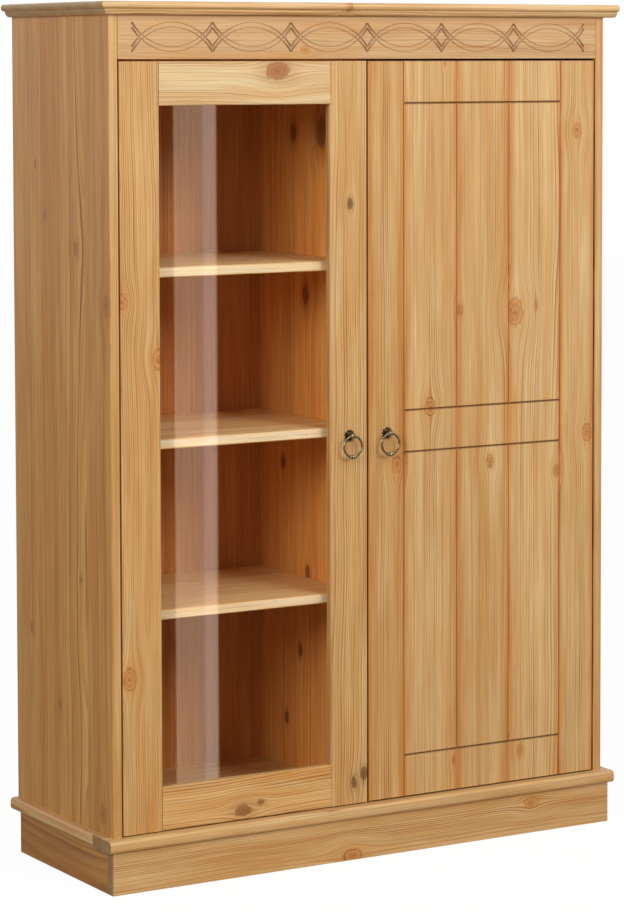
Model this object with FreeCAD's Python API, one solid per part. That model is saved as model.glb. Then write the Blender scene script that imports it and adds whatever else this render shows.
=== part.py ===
import FreeCAD, Part
import math
import os

# A two-door cupboard in solid pine: glazed door on the left, boarded door on the right,
# carved frieze under a moulded top, and a plinth with a rounded ledge.
# Lengths are millimetres. X runs to the right, Y to the back, Z up.
# The origin is on the floor, in the middle of the cupboard's whole width and depth.

# Body
body_width = 900.0
body_depth = 328.0
side_height = 1233.0
side_thickness = 15.0
partition_thickness = 15.0
bottom_thickness = 15.0
bottom_setback = 4.0
back_thickness = 4.0
back_inset = 1.0
back_lap = 7.0
back_clearance = 0.5
arris = 1.0

# Moulded top
top_side_overhang = 19.0
top_front_overhang = 19.0
top_nose_height = 11.0
top_bead_height = 9.0
top_bead_setback = 7.0
top_bead_width = 8.0

# Plinth and ledge
plinth_height = 65.0
plinth_thickness = 18.0
plinth_side_reach = 7.0
plinth_front_reach = 11.0
skirting_clearance = 22.0
ledge_thickness = 19.0
ledge_side_reach = 14.0
ledge_front_reach = 18.0
ledge_width = 60.0
ledge_nose_radius = 6.0
glue_block_size = 22.0

# Frieze
frieze_height = 66.0
frieze_thickness = 19.0
lens_count = 6
lens_pitch = 137.0
carving_height = 44.0
carving_line_gap = 7.5
carving_line_width = 1.8
carving_line_depth = 1.3

# Doors
door_thickness = 19.0
door_clearance = 3.0
door_bottom_clearance = 2.0
door_back_clearance = 2.0
stile_width = 66.0
rail_height = 66.0
tenon_length = 30.0
tenon_thickness = 7.0
tenon_shoulder = 8.0
tenon_inset = 10.0
mortise_clearance = 0.2

# Glazing of the left door
glass_thickness = 4.0
glass_rebate_width = 10.0
glass_front_lip = 6.0
glass_side_clearance = 1.5
bead_width = 10.0

# Grooves and battens of the right door
groove_width = 4.0
groove_depth = 2.0
plank_count = 3
groove_band = 66.0
batten_height = 60.0
batten_thickness = 12.0
batten_hinge_margin = 58.0
batten_meeting_margin = 34.0
batten_end_margin = 46.0
batten_chamfer = 5.0

# Shelves and their pins
shelf_count = 3
shelf_thickness = 15.0
shelf_pitch_share = 0.2135
lowest_shelf_share = 0.262
shelf_setback = 4.0
shelf_end_clearance = 0.75
shelf_back_clearance = 1.0
shelf_round = 1.5
pin_diameter = 5.0
pin_depth = 7.0
pin_reach = 9.0
pin_inset = 37.0
pin_hole_clearance = 0.05

# Dowels
dowel_diameter = 8.0
dowel_length = 30.0
dowel_board_depth = 12.0
dowel_inset = 45.0
dowel_end_gap = 1.0
dowel_rows = 3

# Screws of the back panels
back_screw_diameter = 3.0
back_screw_length = 15.0
back_screw_head_diameter = 7.0
back_screw_head_height = 1.8
back_screw_rows = 5
back_screw_end_margin = 60.0

# Bumpers on the front edge of the partition
bumper_diameter = 9.0
bumper_thickness = 1.7
bumper_margin = 40.0

# Concealed hinges: a cup in the door, one pin, and a hooked arm on a plate
hinge_end_margin = 100.0
pivot_inset = 12.0
pivot_depth = 8.0
cup_diameter = 35.0
cup_inset = 22.5
cup_depth = 14.0
cup_wall = 0.7
cup_fit = 0.1
flange_thickness = 1.0
flange_width = 40.0
flange_height = 60.0
cup_peg_diameter = 8.0
cup_peg_depth = 9.0
cup_peg_spacing = 45.0
hinge_pin_diameter = 2.0
hinge_pin_length = 25.4
hinge_pin_clearance = 0.15
arm_sheet = 2.0
arm_eye_diameter = 3.8
arm_width = 12.0
arm_hook_reach = 22.5
arm_back_reach = 19.0
arm_leg_end = 52.0
plate_thickness = 3.0
plate_start = 20.0
plate_length = 38.0
plate_height = 46.0
plate_screw_spacing = 32.0
plate_screw_diameter = 3.5
plate_screw_length = 12.0
plate_screw_head_diameter = 7.5
plate_screw_head_height = 2.4

# Ring pulls
rosette_diameter = 21.0
rosette_thickness = 1.4
rosette_bead_diameter = 2.0
rosette_dome_diameter = 12.0
rosette_dome_height = 1.6
post_neck_diameter = 5.0
post_reach = 12.0
post_ball_diameter = 9.0
post_eye_diameter = 5.0
ring_outer_diameter = 36.0
ring_wire_diameter = 3.4
ring_bead_diameter = 5.5
ring_side_bead_diameter = 4.4
ring_bead_step = 4.2
handle_screw_diameter = 3.0
handle_screw_grip = 4.0
handle_screw_clearance = 0.3
handle_screw_head_diameter = 8.0
handle_screw_head_height = 2.2

# Small pegs, screws and cups have this many flat sides
peg_sides = 6
hinge_sides = 8
screw_sides = 6
cup_sides = 14
turning_sides = 14
ring_sides = 24
wire_sides = 8
ball_bands = 4
arc_cuts = 8

# Cutting tools run past the wood by this much
overrun = 2.0

# Heights
ledge_bottom = plinth_height
body_bottom = ledge_bottom + ledge_thickness
body_top = body_bottom + side_height
top_thickness = top_nose_height + top_bead_height
frieze_bottom = body_top - frieze_height
floor_top = body_bottom + bottom_thickness
door_bottom = body_bottom + door_bottom_clearance
door_top = frieze_bottom - door_clearance
door_middle = (door_bottom + door_top) / 2
bay_height = body_top - floor_top
lowest_shelf_top = floor_top + bay_height * lowest_shelf_share
shelf_pitch = bay_height * shelf_pitch_share
shelf_tops = [lowest_shelf_top + row * shelf_pitch for row in range(shelf_count)]

# Widths, from the middle of the cupboard outwards
body_edge = body_width / 2
inner_edge = body_edge - side_thickness
partition_face = partition_thickness / 2
hinge_edge = inner_edge - door_clearance
meeting_edge = door_clearance / 2
pivot_x = hinge_edge - pivot_inset
cup_x = hinge_edge - cup_inset
handle_x = meeting_edge + stile_width / 2

# Depths
overall_depth = body_depth + top_front_overhang
front = top_front_overhang - overall_depth / 2
back = overall_depth / 2
door_back = front + door_thickness
inner_front = door_back + door_back_clearance
shelf_front = inner_front + shelf_setback
back_panel_front = back - back_inset - back_thickness
pivot_y = front + pivot_depth
glass_front = front + glass_front_lip
bead_front = glass_front + glass_thickness
plinth_back_face = back - skirting_clearance

hinge_heights = [
    door_bottom + hinge_end_margin,
    (shelf_tops[-2] + shelf_tops[-1] - shelf_thickness) / 2,
    door_top - hinge_end_margin,
]

LEFT = -1
RIGHT = 1
SIDES = {"left": LEFT, "right": RIGHT}
RIGHTWARD = FreeCAD.Vector(1, 0, 0)
BACKWARD = FreeCAD.Vector(0, 1, 0)
UPWARD = FreeCAD.Vector(0, 0, 1)


def block(x_a, x_b, y_a, y_b, z_a, z_b):
    """A box between two values on each axis, in either order."""
    low = FreeCAD.Vector(min(x_a, x_b), min(y_a, y_b), min(z_a, z_b))
    return Part.makeBox(abs(x_b - x_a), abs(y_b - y_a), abs(z_b - z_a), low)


def square_to(direction):
    """A unit vector at right angles to a direction, to measure turns from."""
    reference = UPWARD if abs(direction.z) < direction.Length / 2 else RIGHTWARD
    return direction.cross(reference).normalize()


def spokes(first, second, sides):
    """Unit vectors all round from one direction through a second, one for each corner."""
    angles = [2 * math.pi * (step + 0.5) / sides for step in range(sides)]
    return [first * math.cos(angle) + second * math.sin(angle) for angle in angles]


def spokes_about(direction, sides):
    first = square_to(direction)
    return spokes(first, FreeCAD.Vector(direction).normalize().cross(first), sides)


def solid_of(faces):
    """A closed solid from the flat faces round it, facing outwards."""
    shell = Part.makeShell(faces)
    shell.sewShape()
    solid = Part.makeSolid(shell)
    return solid if solid.Volume > 0 else solid.reversed()


def chained(outlines, looped=False):
    """A flat-sided solid through matching outlines, one after another."""
    pairs = list(zip(outlines, outlines[1:]))
    if looped:
        pairs.append((outlines[-1], outlines[0]))
        faces = []
    else:
        faces = [polygon_face(outlines[0]), polygon_face(outlines[-1])]
    for near, far in pairs:
        for index in range(len(near)):
            after = (index + 1) % len(near)
            faces.append(polygon_face([near[index], near[after], far[after], far[index]]))
    return solid_of(faces)


def turned(profile, start, direction, sides):
    """A flat-sided turning from (radius, distance along the axis) points.

    The profile starts and ends on the axis.
    """
    unit = FreeCAD.Vector(direction).normalize()
    rows = [
        [start + outward * radius + unit * along for radius, along in profile]
        for outward in spokes_about(direction, sides)
    ]
    faces = []
    for row, following in zip(rows, rows[1:] + rows[:1]):
        for near in range(len(profile) - 1):
            far = near + 1
            corners = [row[near], row[far]]
            if profile[far][0] > 0:
                corners.append(following[far])
            if profile[near][0] > 0:
                corners.append(following[near])
            faces.append(polygon_face(corners))
    return solid_of(faces)


def rod(diameter, start, direction, length, sides=None):
    """A straight peg or hole with many flat sides, from a point along a direction."""
    corners = [start + spoke * diameter / 2 for spoke in spokes_about(direction, sides or peg_sides)]
    return polygon_face(corners).extrude(direction * length)


def screw(head_diameter, head_height, diameter, length, start, direction):
    """A screw that narrows from its head to its shank, from the head's face inwards."""
    return turned([
        (0, 0),
        (head_diameter / 2, 0),
        (diameter / 2, head_height),
        (diameter / 2, length),
        (0, length),
    ], start, direction, screw_sides)


def eased(shape, radius, picks):
    """Take the sharpness off the straight edges that the test picks."""
    edges = [edge for edge in shape.Edges if picks(edge)]
    return shape.makeChamfer(radius, edges)


def runs_along(edge, axis):
    """True for a straight edge that lies along an axis."""
    ends = edge.Vertexes
    if len(ends) != 2:
        return False
    run = ends[1].Point - ends[0].Point
    return abs(run.dot(axis)) > run.Length * math.cos(math.radians(1))


def at_front(edge):
    """True for an edge on the front plane of the doors."""
    return all(abs(end.Y - front) < arris / 2 for end in edge.Vertexes)


def outline_face(edges):
    return Part.Face(Part.Wire(edges))


def polygon_face(points):
    return Part.Face(Part.makePolygon(points + points[:1]))


def straight_groove(x_start, z_start, x_end, z_end, width, depth):
    """A V-cut tool on the front plane between two points."""
    run = FreeCAD.Vector(x_end - x_start, 0, z_end - z_start)
    across = FreeCAD.Vector(run.z, 0, -run.x).normalize()
    flare = width / 2 * (depth + overrun) / depth
    tip = FreeCAD.Vector(x_start, front + depth, z_start)
    mouth = FreeCAD.Vector(x_start, front - overrun, z_start)
    return polygon_face([tip, mouth + across * flare, mouth - across * flare]).extrude(run)


def arc_groove(centre_x, centre_z, radius, middle_angle, half_angle, width, depth):
    """A V-cut tool on the front plane along an arc, in short straight lengths."""
    flare = width / 2 * (depth + overrun) / depth
    mouth = front - overrun
    corners = ((radius, front + depth), (radius - flare, mouth), (radius + flare, mouth))
    outlines = []
    for step in range(arc_cuts + 1):
        angle = math.radians(middle_angle - half_angle + 2 * half_angle * step / arc_cuts)
        outlines.append([
            FreeCAD.Vector(centre_x + reach * math.cos(angle), y, centre_z + reach * math.sin(angle))
            for reach, y in corners
        ])
    return chained(outlines)


# Side panels: glued pine boards with a rebate for the back, pin holes and dowel holes.

def side_panel(side):
    panel = block(side * body_edge, side * inner_edge, front, back, body_bottom, body_top)
    panel = eased(panel, arris, lambda edge: at_front(edge) and runs_along(edge, UPWARD))
    rebate = block(
        side * (inner_edge - overrun), side * (inner_edge + back_lap + back_clearance),
        back_panel_front, back + overrun,
        body_bottom - overrun, body_top + overrun,
    )
    cuts = [rebate] + pin_holes(side * inner_edge, side)
    cuts += [hole for hole in upright_dowel_holes() if hole.BoundBox.Center.x * side > inner_edge]
    for height in hinge_heights:
        cuts += hinge_plate_screws(side, height)
    return panel.cut(cuts + back_screws())


def centre_partition():
    board = block(
        -partition_face, partition_face, inner_front, back_panel_front, floor_top, body_top,
    )
    cuts = pin_holes(-partition_face, RIGHT) + pin_holes(partition_face, LEFT)
    cuts += [hole for hole in upright_dowel_holes() if abs(hole.BoundBox.Center.x) < partition_face]
    return board.cut(cuts + back_screws())


def bottom_board():
    near = inner_front + bottom_setback
    board = block(-inner_edge, inner_edge, near, back_panel_front, body_bottom, floor_top)
    return eased(
        board, arris,
        lambda edge: runs_along(edge, RIGHTWARD)
        and all(abs(end.Y - near) < arris / 2 for end in edge.Vertexes),
    )


def back_panel(side):
    """Thin board in the rebates, one for each half, meeting behind the partition."""
    return block(
        side * back_clearance / 2, side * (inner_edge + back_lap),
        back_panel_front, back_panel_front + back_thickness, body_bottom, body_top,
    )


def back_screws():
    """Countersunk screws through the back panels into the sides, partition and bottom."""
    screws = []
    run = body_top - body_bottom - 2 * back_screw_end_margin
    side_line = inner_edge + back_lap / 2
    middle_line = partition_face / 2
    start_y = back_panel_front + back_thickness
    for row in range(back_screw_rows):
        height = body_bottom + back_screw_end_margin + run * row / (back_screw_rows - 1)
        for x in (-side_line, -middle_line, middle_line, side_line):
            screws.append(screw(
                back_screw_head_diameter, back_screw_head_height,
                back_screw_diameter, back_screw_length,
                FreeCAD.Vector(x, start_y, height), -BACKWARD,
            ))
    return screws


# Moulded top: a half-round nose over a quarter-round bead, on the front and both ends.

def moulded_edge(point):
    """The moulding's edges, from the underside to the top face, for a placing function."""
    nose_radius = top_nose_height / 2
    nose_root = -nose_radius
    bead_edge = -top_bead_setback
    bead_foot = bead_edge - top_bead_width
    turn = math.sin(math.radians(45))
    nose_middle = top_bead_height + nose_radius
    foot = point(bead_foot, 0)
    bead_middle = point(bead_foot + top_bead_width * turn, top_bead_height * (1 - turn))
    bead_top = point(bead_edge, top_bead_height)
    nose_bottom = point(nose_root, top_bead_height)
    nose_tip = point(0, nose_middle)
    nose_top = point(nose_root, top_thickness)
    return [
        Part.Arc(foot, bead_middle, bead_top).toShape(),
        Part.makeLine(bead_top, nose_bottom),
        Part.Arc(nose_bottom, nose_tip, nose_top).toShape(),
    ]


def top_board():
    """The front moulding run across the width, cut to the shape of the end mouldings."""
    tip_x = body_edge + top_side_overhang
    tip_y = front - top_front_overhang

    def front_point(reach, height):
        return FreeCAD.Vector(-tip_x, tip_y - reach, body_top + height)

    def left_point(reach, height):
        return FreeCAD.Vector(-tip_x - reach, tip_y, body_top + height)

    def right_point(reach, height):
        return FreeCAD.Vector(tip_x + reach, tip_y, body_top + height)

    edge = moulded_edge(front_point)
    low_back = FreeCAD.Vector(-tip_x, back, body_top)
    high_back = FreeCAD.Vector(-tip_x, back, body_top + top_thickness)
    front_run = outline_face(
        edge + [
            Part.makeLine(edge[-1].Vertexes[-1].Point, high_back),
            Part.makeLine(high_back, low_back),
            Part.makeLine(low_back, edge[0].Vertexes[0].Point),
        ]
    ).extrude(FreeCAD.Vector(2 * tip_x, 0, 0))
    left = moulded_edge(left_point)
    right = moulded_edge(right_point)
    across = outline_face(
        left + right + [
            Part.makeLine(left[-1].Vertexes[-1].Point, right[-1].Vertexes[-1].Point),
            Part.makeLine(left[0].Vertexes[0].Point, right[0].Vertexes[0].Point),
        ]
    ).extrude(FreeCAD.Vector(0, back - tip_y, 0))
    board = front_run.common(across)
    return board.cut(upright_dowel_holes())


# Frieze: interlaced arcs in pairs of cut lines, which cross beside each lozenge.

def frieze_board():
    board = block(
        -inner_edge, inner_edge, front, front + frieze_thickness, frieze_bottom, body_top,
    )
    board = eased(
        board, arris,
        lambda edge: at_front(edge) and runs_along(edge, RIGHTWARD)
        and edge.Vertexes[0].Z < frieze_bottom + arris,
    )
    half_chord = lens_pitch / 2
    rise = carving_height - carving_line_gap
    radius = (half_chord ** 2 + rise ** 2) / (2 * rise)
    half_angle = math.degrees(math.asin(half_chord / radius))
    middle_z = frieze_bottom + frieze_height / 2
    first_x = -lens_pitch * (lens_count - 1) / 2
    cuts = []
    for lens in range(lens_count):
        centre_x = first_x + lens * lens_pitch
        for upward in (1, -1):
            for line in (0, 1):
                crown = carving_height / 2 - line * carving_line_gap
                centre_z = middle_z + upward * (crown - radius)
                cuts.append(arc_groove(
                    centre_x, centre_z, radius, 90 * upward, half_angle,
                    carving_line_width, carving_line_depth,
                ))
    return board.cut(cuts)


# Plinth: four boards round the base, glue blocks in the corners, and a ledge on top.

def plinth_front_back_face():
    return front - plinth_front_reach + plinth_thickness


def plinth_front():
    edge = body_edge + plinth_side_reach
    near = front - plinth_front_reach
    board = block(-edge, edge, near, plinth_front_back_face(), 0, plinth_height)
    return eased(
        board, arris,
        lambda edge: runs_along(edge, UPWARD)
        and all(abs(end.Y - near) < arris / 2 for end in edge.Vertexes),
    )


def plinth_side(side):
    outer = body_edge + plinth_side_reach
    return block(
        side * outer, side * (outer - plinth_thickness),
        plinth_front_back_face(), plinth_back_face, 0, plinth_height,
    )


def plinth_back():
    inner = body_edge + plinth_side_reach - plinth_thickness
    near = plinth_back_face - plinth_thickness
    return block(-inner, inner, near, plinth_back_face, 0, plinth_height)


def glue_blocks():
    """Square blocks in the plinth's corners, with the inner corner cut away."""
    blocks = []
    inner = body_edge + plinth_side_reach - plinth_thickness
    corners = (
        (plinth_front_back_face(), 1),
        (plinth_back_face - plinth_thickness, -1),
    )
    for side in (LEFT, RIGHT):
        for y, inward in corners:
            points = [
                FreeCAD.Vector(side * inner, y, 0),
                FreeCAD.Vector(side * (inner - glue_block_size), y, 0),
                FreeCAD.Vector(side * (inner - glue_block_size), y + inward * glue_block_size / 2, 0),
                FreeCAD.Vector(side * (inner - glue_block_size / 2), y + inward * glue_block_size, 0),
                FreeCAD.Vector(side * inner, y + inward * glue_block_size, 0),
            ]
            height = plinth_height - arris
            lifted = [point + UPWARD * arris for point in points]
            blocks.append(polygon_face(lifted).extrude(UPWARD * height))
    return blocks


def ledge_profile(point, reach, inner):
    """A board's end with a rounded nose. Reach is outwards, inner is the hidden edge."""
    round_off = ledge_nose_radius * (1 - math.cos(math.radians(45)))
    low_start = point(reach - ledge_nose_radius, 0)
    low_end = point(reach, ledge_nose_radius)
    high_start = point(reach, ledge_thickness - ledge_nose_radius)
    high_end = point(reach - ledge_nose_radius, ledge_thickness)
    high_back = point(inner, ledge_thickness)
    low_back = point(inner, 0)
    return outline_face([
        Part.Arc(low_start, point(reach - round_off, round_off), low_end).toShape(),
        Part.makeLine(low_end, high_start),
        Part.Arc(high_start, point(reach - round_off, ledge_thickness - round_off), high_end).toShape(),
        Part.makeLine(high_end, high_back),
        Part.makeLine(high_back, low_back),
        Part.makeLine(low_back, low_start),
    ])


def ledge_front_back_face():
    return front - ledge_front_reach + ledge_width


def ledge_front():
    edge = body_edge + ledge_side_reach

    def point(reach, height):
        return FreeCAD.Vector(-edge, front - reach, ledge_bottom + height)

    face = ledge_profile(point, ledge_front_reach, ledge_front_reach - ledge_width)
    strip = face.extrude(FreeCAD.Vector(2 * edge, 0, 0))
    return strip.cut(upright_dowel_holes())


def ledge_side(side):
    def point(reach, height):
        x = side * (body_edge + reach)
        return FreeCAD.Vector(x, ledge_front_back_face(), ledge_bottom + height)

    face = ledge_profile(point, ledge_side_reach, ledge_side_reach - ledge_width)
    strip = face.extrude(FreeCAD.Vector(0, back - ledge_front_back_face(), 0))
    return strip.cut(upright_dowel_holes())


def ledge_back():
    inner = body_edge + ledge_side_reach - ledge_width
    return block(
        -inner, inner, plinth_back_face - ledge_width, plinth_back_face,
        ledge_bottom, ledge_bottom + ledge_thickness,
    )


# Dowels: beech pegs that hold the top on the sides and partition, and the sides on the ledge.

def dowel_places():
    """Each dowel's x, y and the height of the joint that it crosses."""
    places = []
    side_x = body_edge - side_thickness / 2
    run = body_depth - 2 * dowel_inset
    for row in range(dowel_rows):
        y = front + dowel_inset + run * row / (dowel_rows - 1)
        for x in (-side_x, side_x):
            places.append((x, y, body_bottom, -1))
            places.append((x, y, body_top, 1))
        places.append((0, y, body_top, 1))
    return places


def dowels_at(joint_height):
    pegs = []
    for x, y, height, into in dowel_places():
        if height == joint_height:
            start = FreeCAD.Vector(x, y, height + into * dowel_board_depth)
            pegs.append(rod(dowel_diameter, start, -UPWARD * into, dowel_length))
    return pegs


def upright_dowel_holes():
    holes = []
    for x, y, height, into in dowel_places():
        start = FreeCAD.Vector(x, y, height + into * (dowel_board_depth + dowel_end_gap))
        holes.append(rod(dowel_diameter, start, -UPWARD * into, dowel_length + 2 * dowel_end_gap))
    return holes


# Shelves: three in each half, on four pins each.

def bay_walls(side):
    """The inner and outer walls of one half."""
    return side * partition_face, side * inner_edge


def shelf(side, top):
    near, far = bay_walls(side)
    board = block(
        near + side * shelf_end_clearance, far - side * shelf_end_clearance,
        shelf_front, back_panel_front - shelf_back_clearance,
        top - shelf_thickness, top,
    )
    return eased(
        board, shelf_round,
        lambda edge: runs_along(edge, RIGHTWARD)
        and all(abs(end.Y - shelf_front) < arris / 2 for end in edge.Vertexes),
    )


def pin_spots():
    """Each pin's y and height."""
    rear = back_panel_front - shelf_back_clearance - pin_inset
    spots = []
    for top in shelf_tops:
        height = top - shelf_thickness - pin_diameter / 2
        spots += [(shelf_front + pin_inset, height), (rear, height)]
    return spots


def pin_holes(wall_x, into):
    """Blind holes in the wall at this x, running into the wood."""
    holes = []
    for y, height in pin_spots():
        start = FreeCAD.Vector(wall_x - into * overrun, y, height)
        diameter = pin_diameter + 2 * pin_hole_clearance
        depth = pin_depth + pin_hole_clearance + overrun
        holes.append(rod(diameter, start, RIGHTWARD * into, depth))
    return holes


def shelf_pins(side):
    pins = []
    near, far = bay_walls(side)
    for wall_x, into in ((near, -side), (far, side)):
        for y, height in pin_spots():
            start = FreeCAD.Vector(wall_x - into * pin_reach, y, height)
            pins.append(rod(pin_diameter, start, RIGHTWARD * into, pin_reach + pin_depth))
    return pins


def door_bumpers():
    """Small round pads that the closed doors rest on."""
    pads = []
    for height in (floor_top + bumper_margin, door_top - bumper_margin):
        start = FreeCAD.Vector(0, inner_front, height)
        pads.append(rod(bumper_diameter, start, -BACKWARD, bumper_thickness))
    return pads


# Left door: stiles and rails with tenons, glass in a rebate, four beads behind it.

def upright_mortises(x_outer, x_inner):
    """Slots in a stile that take the tenons of both rails."""
    slots = []
    for low, high in rail_spans():
        slots.append(block(
            x_outer, x_inner,
            front + tenon_shoulder - mortise_clearance,
            front + tenon_shoulder + tenon_thickness + mortise_clearance,
            low + tenon_inset, high - tenon_inset,
        ))
    return slots


def rail_spans():
    return [(door_bottom, door_bottom + rail_height), (door_top - rail_height, door_top)]


def glass_opening():
    """The hole in the frame: outer x, inner x, bottom and top."""
    outer = -(hinge_edge - stile_width)
    inner = -(meeting_edge + stile_width)
    return outer, inner, door_bottom + rail_height, door_top - rail_height


def frame_rebate():
    """The step behind the opening that holds the glass and the beads."""
    outer, inner, low, high = glass_opening()
    return block(
        outer - glass_rebate_width, inner + glass_rebate_width,
        glass_front, door_back + overrun,
        low - glass_rebate_width, high + glass_rebate_width,
    )


def left_hinge_stile():
    outer, _, _, _ = glass_opening()
    stile = block(-hinge_edge, outer, front, door_back, door_bottom, door_top)
    stile = eased(stile, arris, lambda edge: at_front(edge) and runs_along(edge, UPWARD))
    cuts = [frame_rebate()] + hinge_cup_holes(LEFT)
    cuts += upright_mortises(outer - tenon_length - mortise_clearance, outer + overrun)
    return stile.cut(cuts)


def left_meeting_stile():
    _, inner, _, _ = glass_opening()
    stile = block(inner, -meeting_edge, front, door_back, door_bottom, door_top)
    stile = eased(stile, arris, lambda edge: at_front(edge) and runs_along(edge, UPWARD))
    cuts = [frame_rebate(), handle_screw_hole(LEFT)]
    cuts += upright_mortises(inner - overrun, inner + tenon_length + mortise_clearance)
    return stile.cut(cuts)


def left_rail(low, high):
    outer, inner, _, _ = glass_opening()
    rail = block(outer, inner, front, door_back, low, high)
    rail = eased(rail, arris, lambda edge: at_front(edge) and runs_along(edge, RIGHTWARD))
    rail = rail.cut(frame_rebate())
    tenon = block(
        outer - tenon_length, inner + tenon_length,
        front + tenon_shoulder, front + tenon_shoulder + tenon_thickness,
        low + tenon_inset + mortise_clearance, high - tenon_inset - mortise_clearance,
    )
    return rail.fuse(tenon).removeSplitter()


def left_glass():
    outer, inner, low, high = glass_opening()
    lap = glass_rebate_width - glass_side_clearance
    return block(outer - lap, inner + lap, glass_front, bead_front, low - lap, high + lap)


def bead(x_a, x_b, z_a, z_b, inward, picks_along):
    """A square strip with its inner back edge cut at 45 degrees."""
    strip = block(x_a, x_b, bead_front, door_back, z_a, z_b)
    centre = strip.BoundBox.Center

    def inner_back(edge):
        if not runs_along(edge, picks_along):
            return False
        middle = (edge.Vertexes[0].Point + edge.Vertexes[1].Point) * 0.5
        return middle.y > centre.y and (middle - centre).dot(inward) > 0

    return eased(strip, bead_width / 2, inner_back)


def glazing_beads():
    outer, inner, low, high = glass_opening()
    left_x = outer - glass_rebate_width
    right_x = inner + glass_rebate_width
    bottom_z = low - glass_rebate_width
    top_z = high + glass_rebate_width
    inside_left = left_x + bead_width
    inside_right = right_x - bead_width
    inside_bottom = bottom_z + bead_width
    inside_top = top_z - bead_width
    return {
        "left_door_bead_hinge_side": bead(left_x, inside_left, bottom_z, top_z, RIGHTWARD, UPWARD),
        "left_door_bead_meeting_side": bead(inside_right, right_x, bottom_z, top_z, -RIGHTWARD, UPWARD),
        "left_door_bead_bottom": bead(
            inside_left, inside_right, bottom_z, inside_bottom, UPWARD, RIGHTWARD,
        ),
        "left_door_bead_top": bead(inside_left, inside_right, inside_top, top_z, -UPWARD, RIGHTWARD),
    }


# Right door: one glued board with V-cuts that draw a frame and planks, and two battens behind.

def right_panel():
    board = block(meeting_edge, hinge_edge, front, door_back, door_bottom, door_top)
    board = eased(board, arris, at_front)
    left_line = meeting_edge + groove_band
    right_line = hinge_edge - groove_band
    band_half = groove_band / 2
    levels = [
        door_bottom + groove_band,
        door_middle - band_half,
        door_middle + band_half,
        door_top - groove_band,
    ]
    lines = [
        (x, door_bottom - overrun, x, door_top + overrun) for x in (left_line, right_line)
    ]
    lines += [(left_line, level, right_line, level) for level in levels]
    plank = (right_line - left_line) / plank_count
    for step in range(1, plank_count):
        x = left_line + step * plank
        lines += [(x, levels[0], x, levels[1]), (x, levels[2], x, levels[3])]
    cuts = [straight_groove(*line, groove_width, groove_depth) for line in lines]
    cuts += hinge_cup_holes(RIGHT) + [handle_screw_hole(RIGHT)]
    return board.cut(cuts)


def right_batten(low):
    """A flat bar across the back of the door, with eased edges."""
    bar = block(
        meeting_edge + batten_meeting_margin, hinge_edge - batten_hinge_margin,
        door_back, door_back + batten_thickness, low, low + batten_height,
    )
    return eased(
        bar, batten_chamfer,
        lambda edge: all(end.Y > door_back + batten_thickness / 2 for end in edge.Vertexes),
    )


# Hinges: the arm hooks into the cup and turns on a pin near the door's edge.

def hinge_point(side, across, deep, height):
    """A place measured from the pin towards the door's middle and towards the back."""
    return FreeCAD.Vector(side * (pivot_x - across), pivot_y + deep, height)


def hinge_cup_holes(side):
    holes = []
    for height in hinge_heights:
        start = FreeCAD.Vector(side * cup_x, door_back + overrun, height)
        reach = cup_depth + cup_fit + overrun
        holes.append(rod(cup_diameter + 2 * cup_fit, start, -BACKWARD, reach, cup_sides))
        for end in (-1, 1):
            peg = start + UPWARD * end * cup_peg_spacing / 2
            reach = cup_peg_depth + cup_fit + overrun
            holes.append(rod(cup_peg_diameter + 2 * cup_fit, peg, -BACKWARD, reach))
    return holes


def hinge_cup(side, height):
    mouth = FreeCAD.Vector(side * cup_x, door_back, height)
    body = rod(cup_diameter, mouth, -BACKWARD, cup_depth, cup_sides)
    flange = block(
        side * cup_x - flange_width / 2, side * cup_x + flange_width / 2,
        door_back, door_back + flange_thickness,
        height - flange_height / 2, height + flange_height / 2,
    )
    flange = eased(flange, flange_width / 3, lambda edge: runs_along(edge, BACKWARD))
    pegs = []
    for end in (-1, 1):
        start = mouth + UPWARD * end * cup_peg_spacing / 2
        pegs.append(rod(cup_peg_diameter, start, -BACKWARD, cup_peg_depth))
    cup = body.fuse([flange] + pegs).removeSplitter()
    hollow_start = mouth + BACKWARD * (flange_thickness + overrun)
    hollow_depth = cup_depth - cup_wall + flange_thickness + overrun
    hollow = rod(cup_diameter - 2 * cup_wall, hollow_start, -BACKWARD, hollow_depth, cup_sides)
    return cup.cut([hollow, hinge_bore(side, height)])


def hinge_bore(side, height):
    """A hole for the pin, with enough room for it to turn."""
    diameter = hinge_pin_diameter + 2 * hinge_pin_clearance
    start = hinge_point(side, 0, 0, height - hinge_pin_length / 2)
    return rod(diameter, start, UPWARD, hinge_pin_length, hinge_sides)


def hinge_pin(side, height):
    start = hinge_point(side, 0, 0, height - hinge_pin_length / 2)
    return Part.makeCylinder(hinge_pin_diameter / 2, hinge_pin_length, start, UPWARD)


def hinge_arm(side, height):
    """A bent strip: eye on the pin, hook out of the cup, leg along the plate."""
    bottom = height - arm_width / 2
    half = arm_sheet / 2
    hook_inner = arm_hook_reach - arm_sheet
    back_inner = arm_back_reach - arm_sheet
    leg_outer = plate_thickness - (pivot_inset + door_clearance)
    leg_inner = leg_outer + arm_sheet
    outline = [
        (0, -half),
        (arm_hook_reach, -half),
        (arm_hook_reach, arm_back_reach),
        (leg_inner, arm_back_reach),
        (leg_inner, arm_leg_end),
        (leg_outer, arm_leg_end),
        (leg_outer, back_inner),
        (hook_inner, back_inner),
        (hook_inner, half),
        (0, half),
    ]
    points = [hinge_point(side, across, deep, bottom) for across, deep in outline]
    strip = polygon_face(points).extrude(UPWARD * arm_width)
    eye = rod(arm_eye_diameter, hinge_point(side, 0, 0, bottom), UPWARD, arm_width, hinge_sides)
    return strip.fuse(eye).removeSplitter().cut(hinge_bore(side, height))


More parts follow.
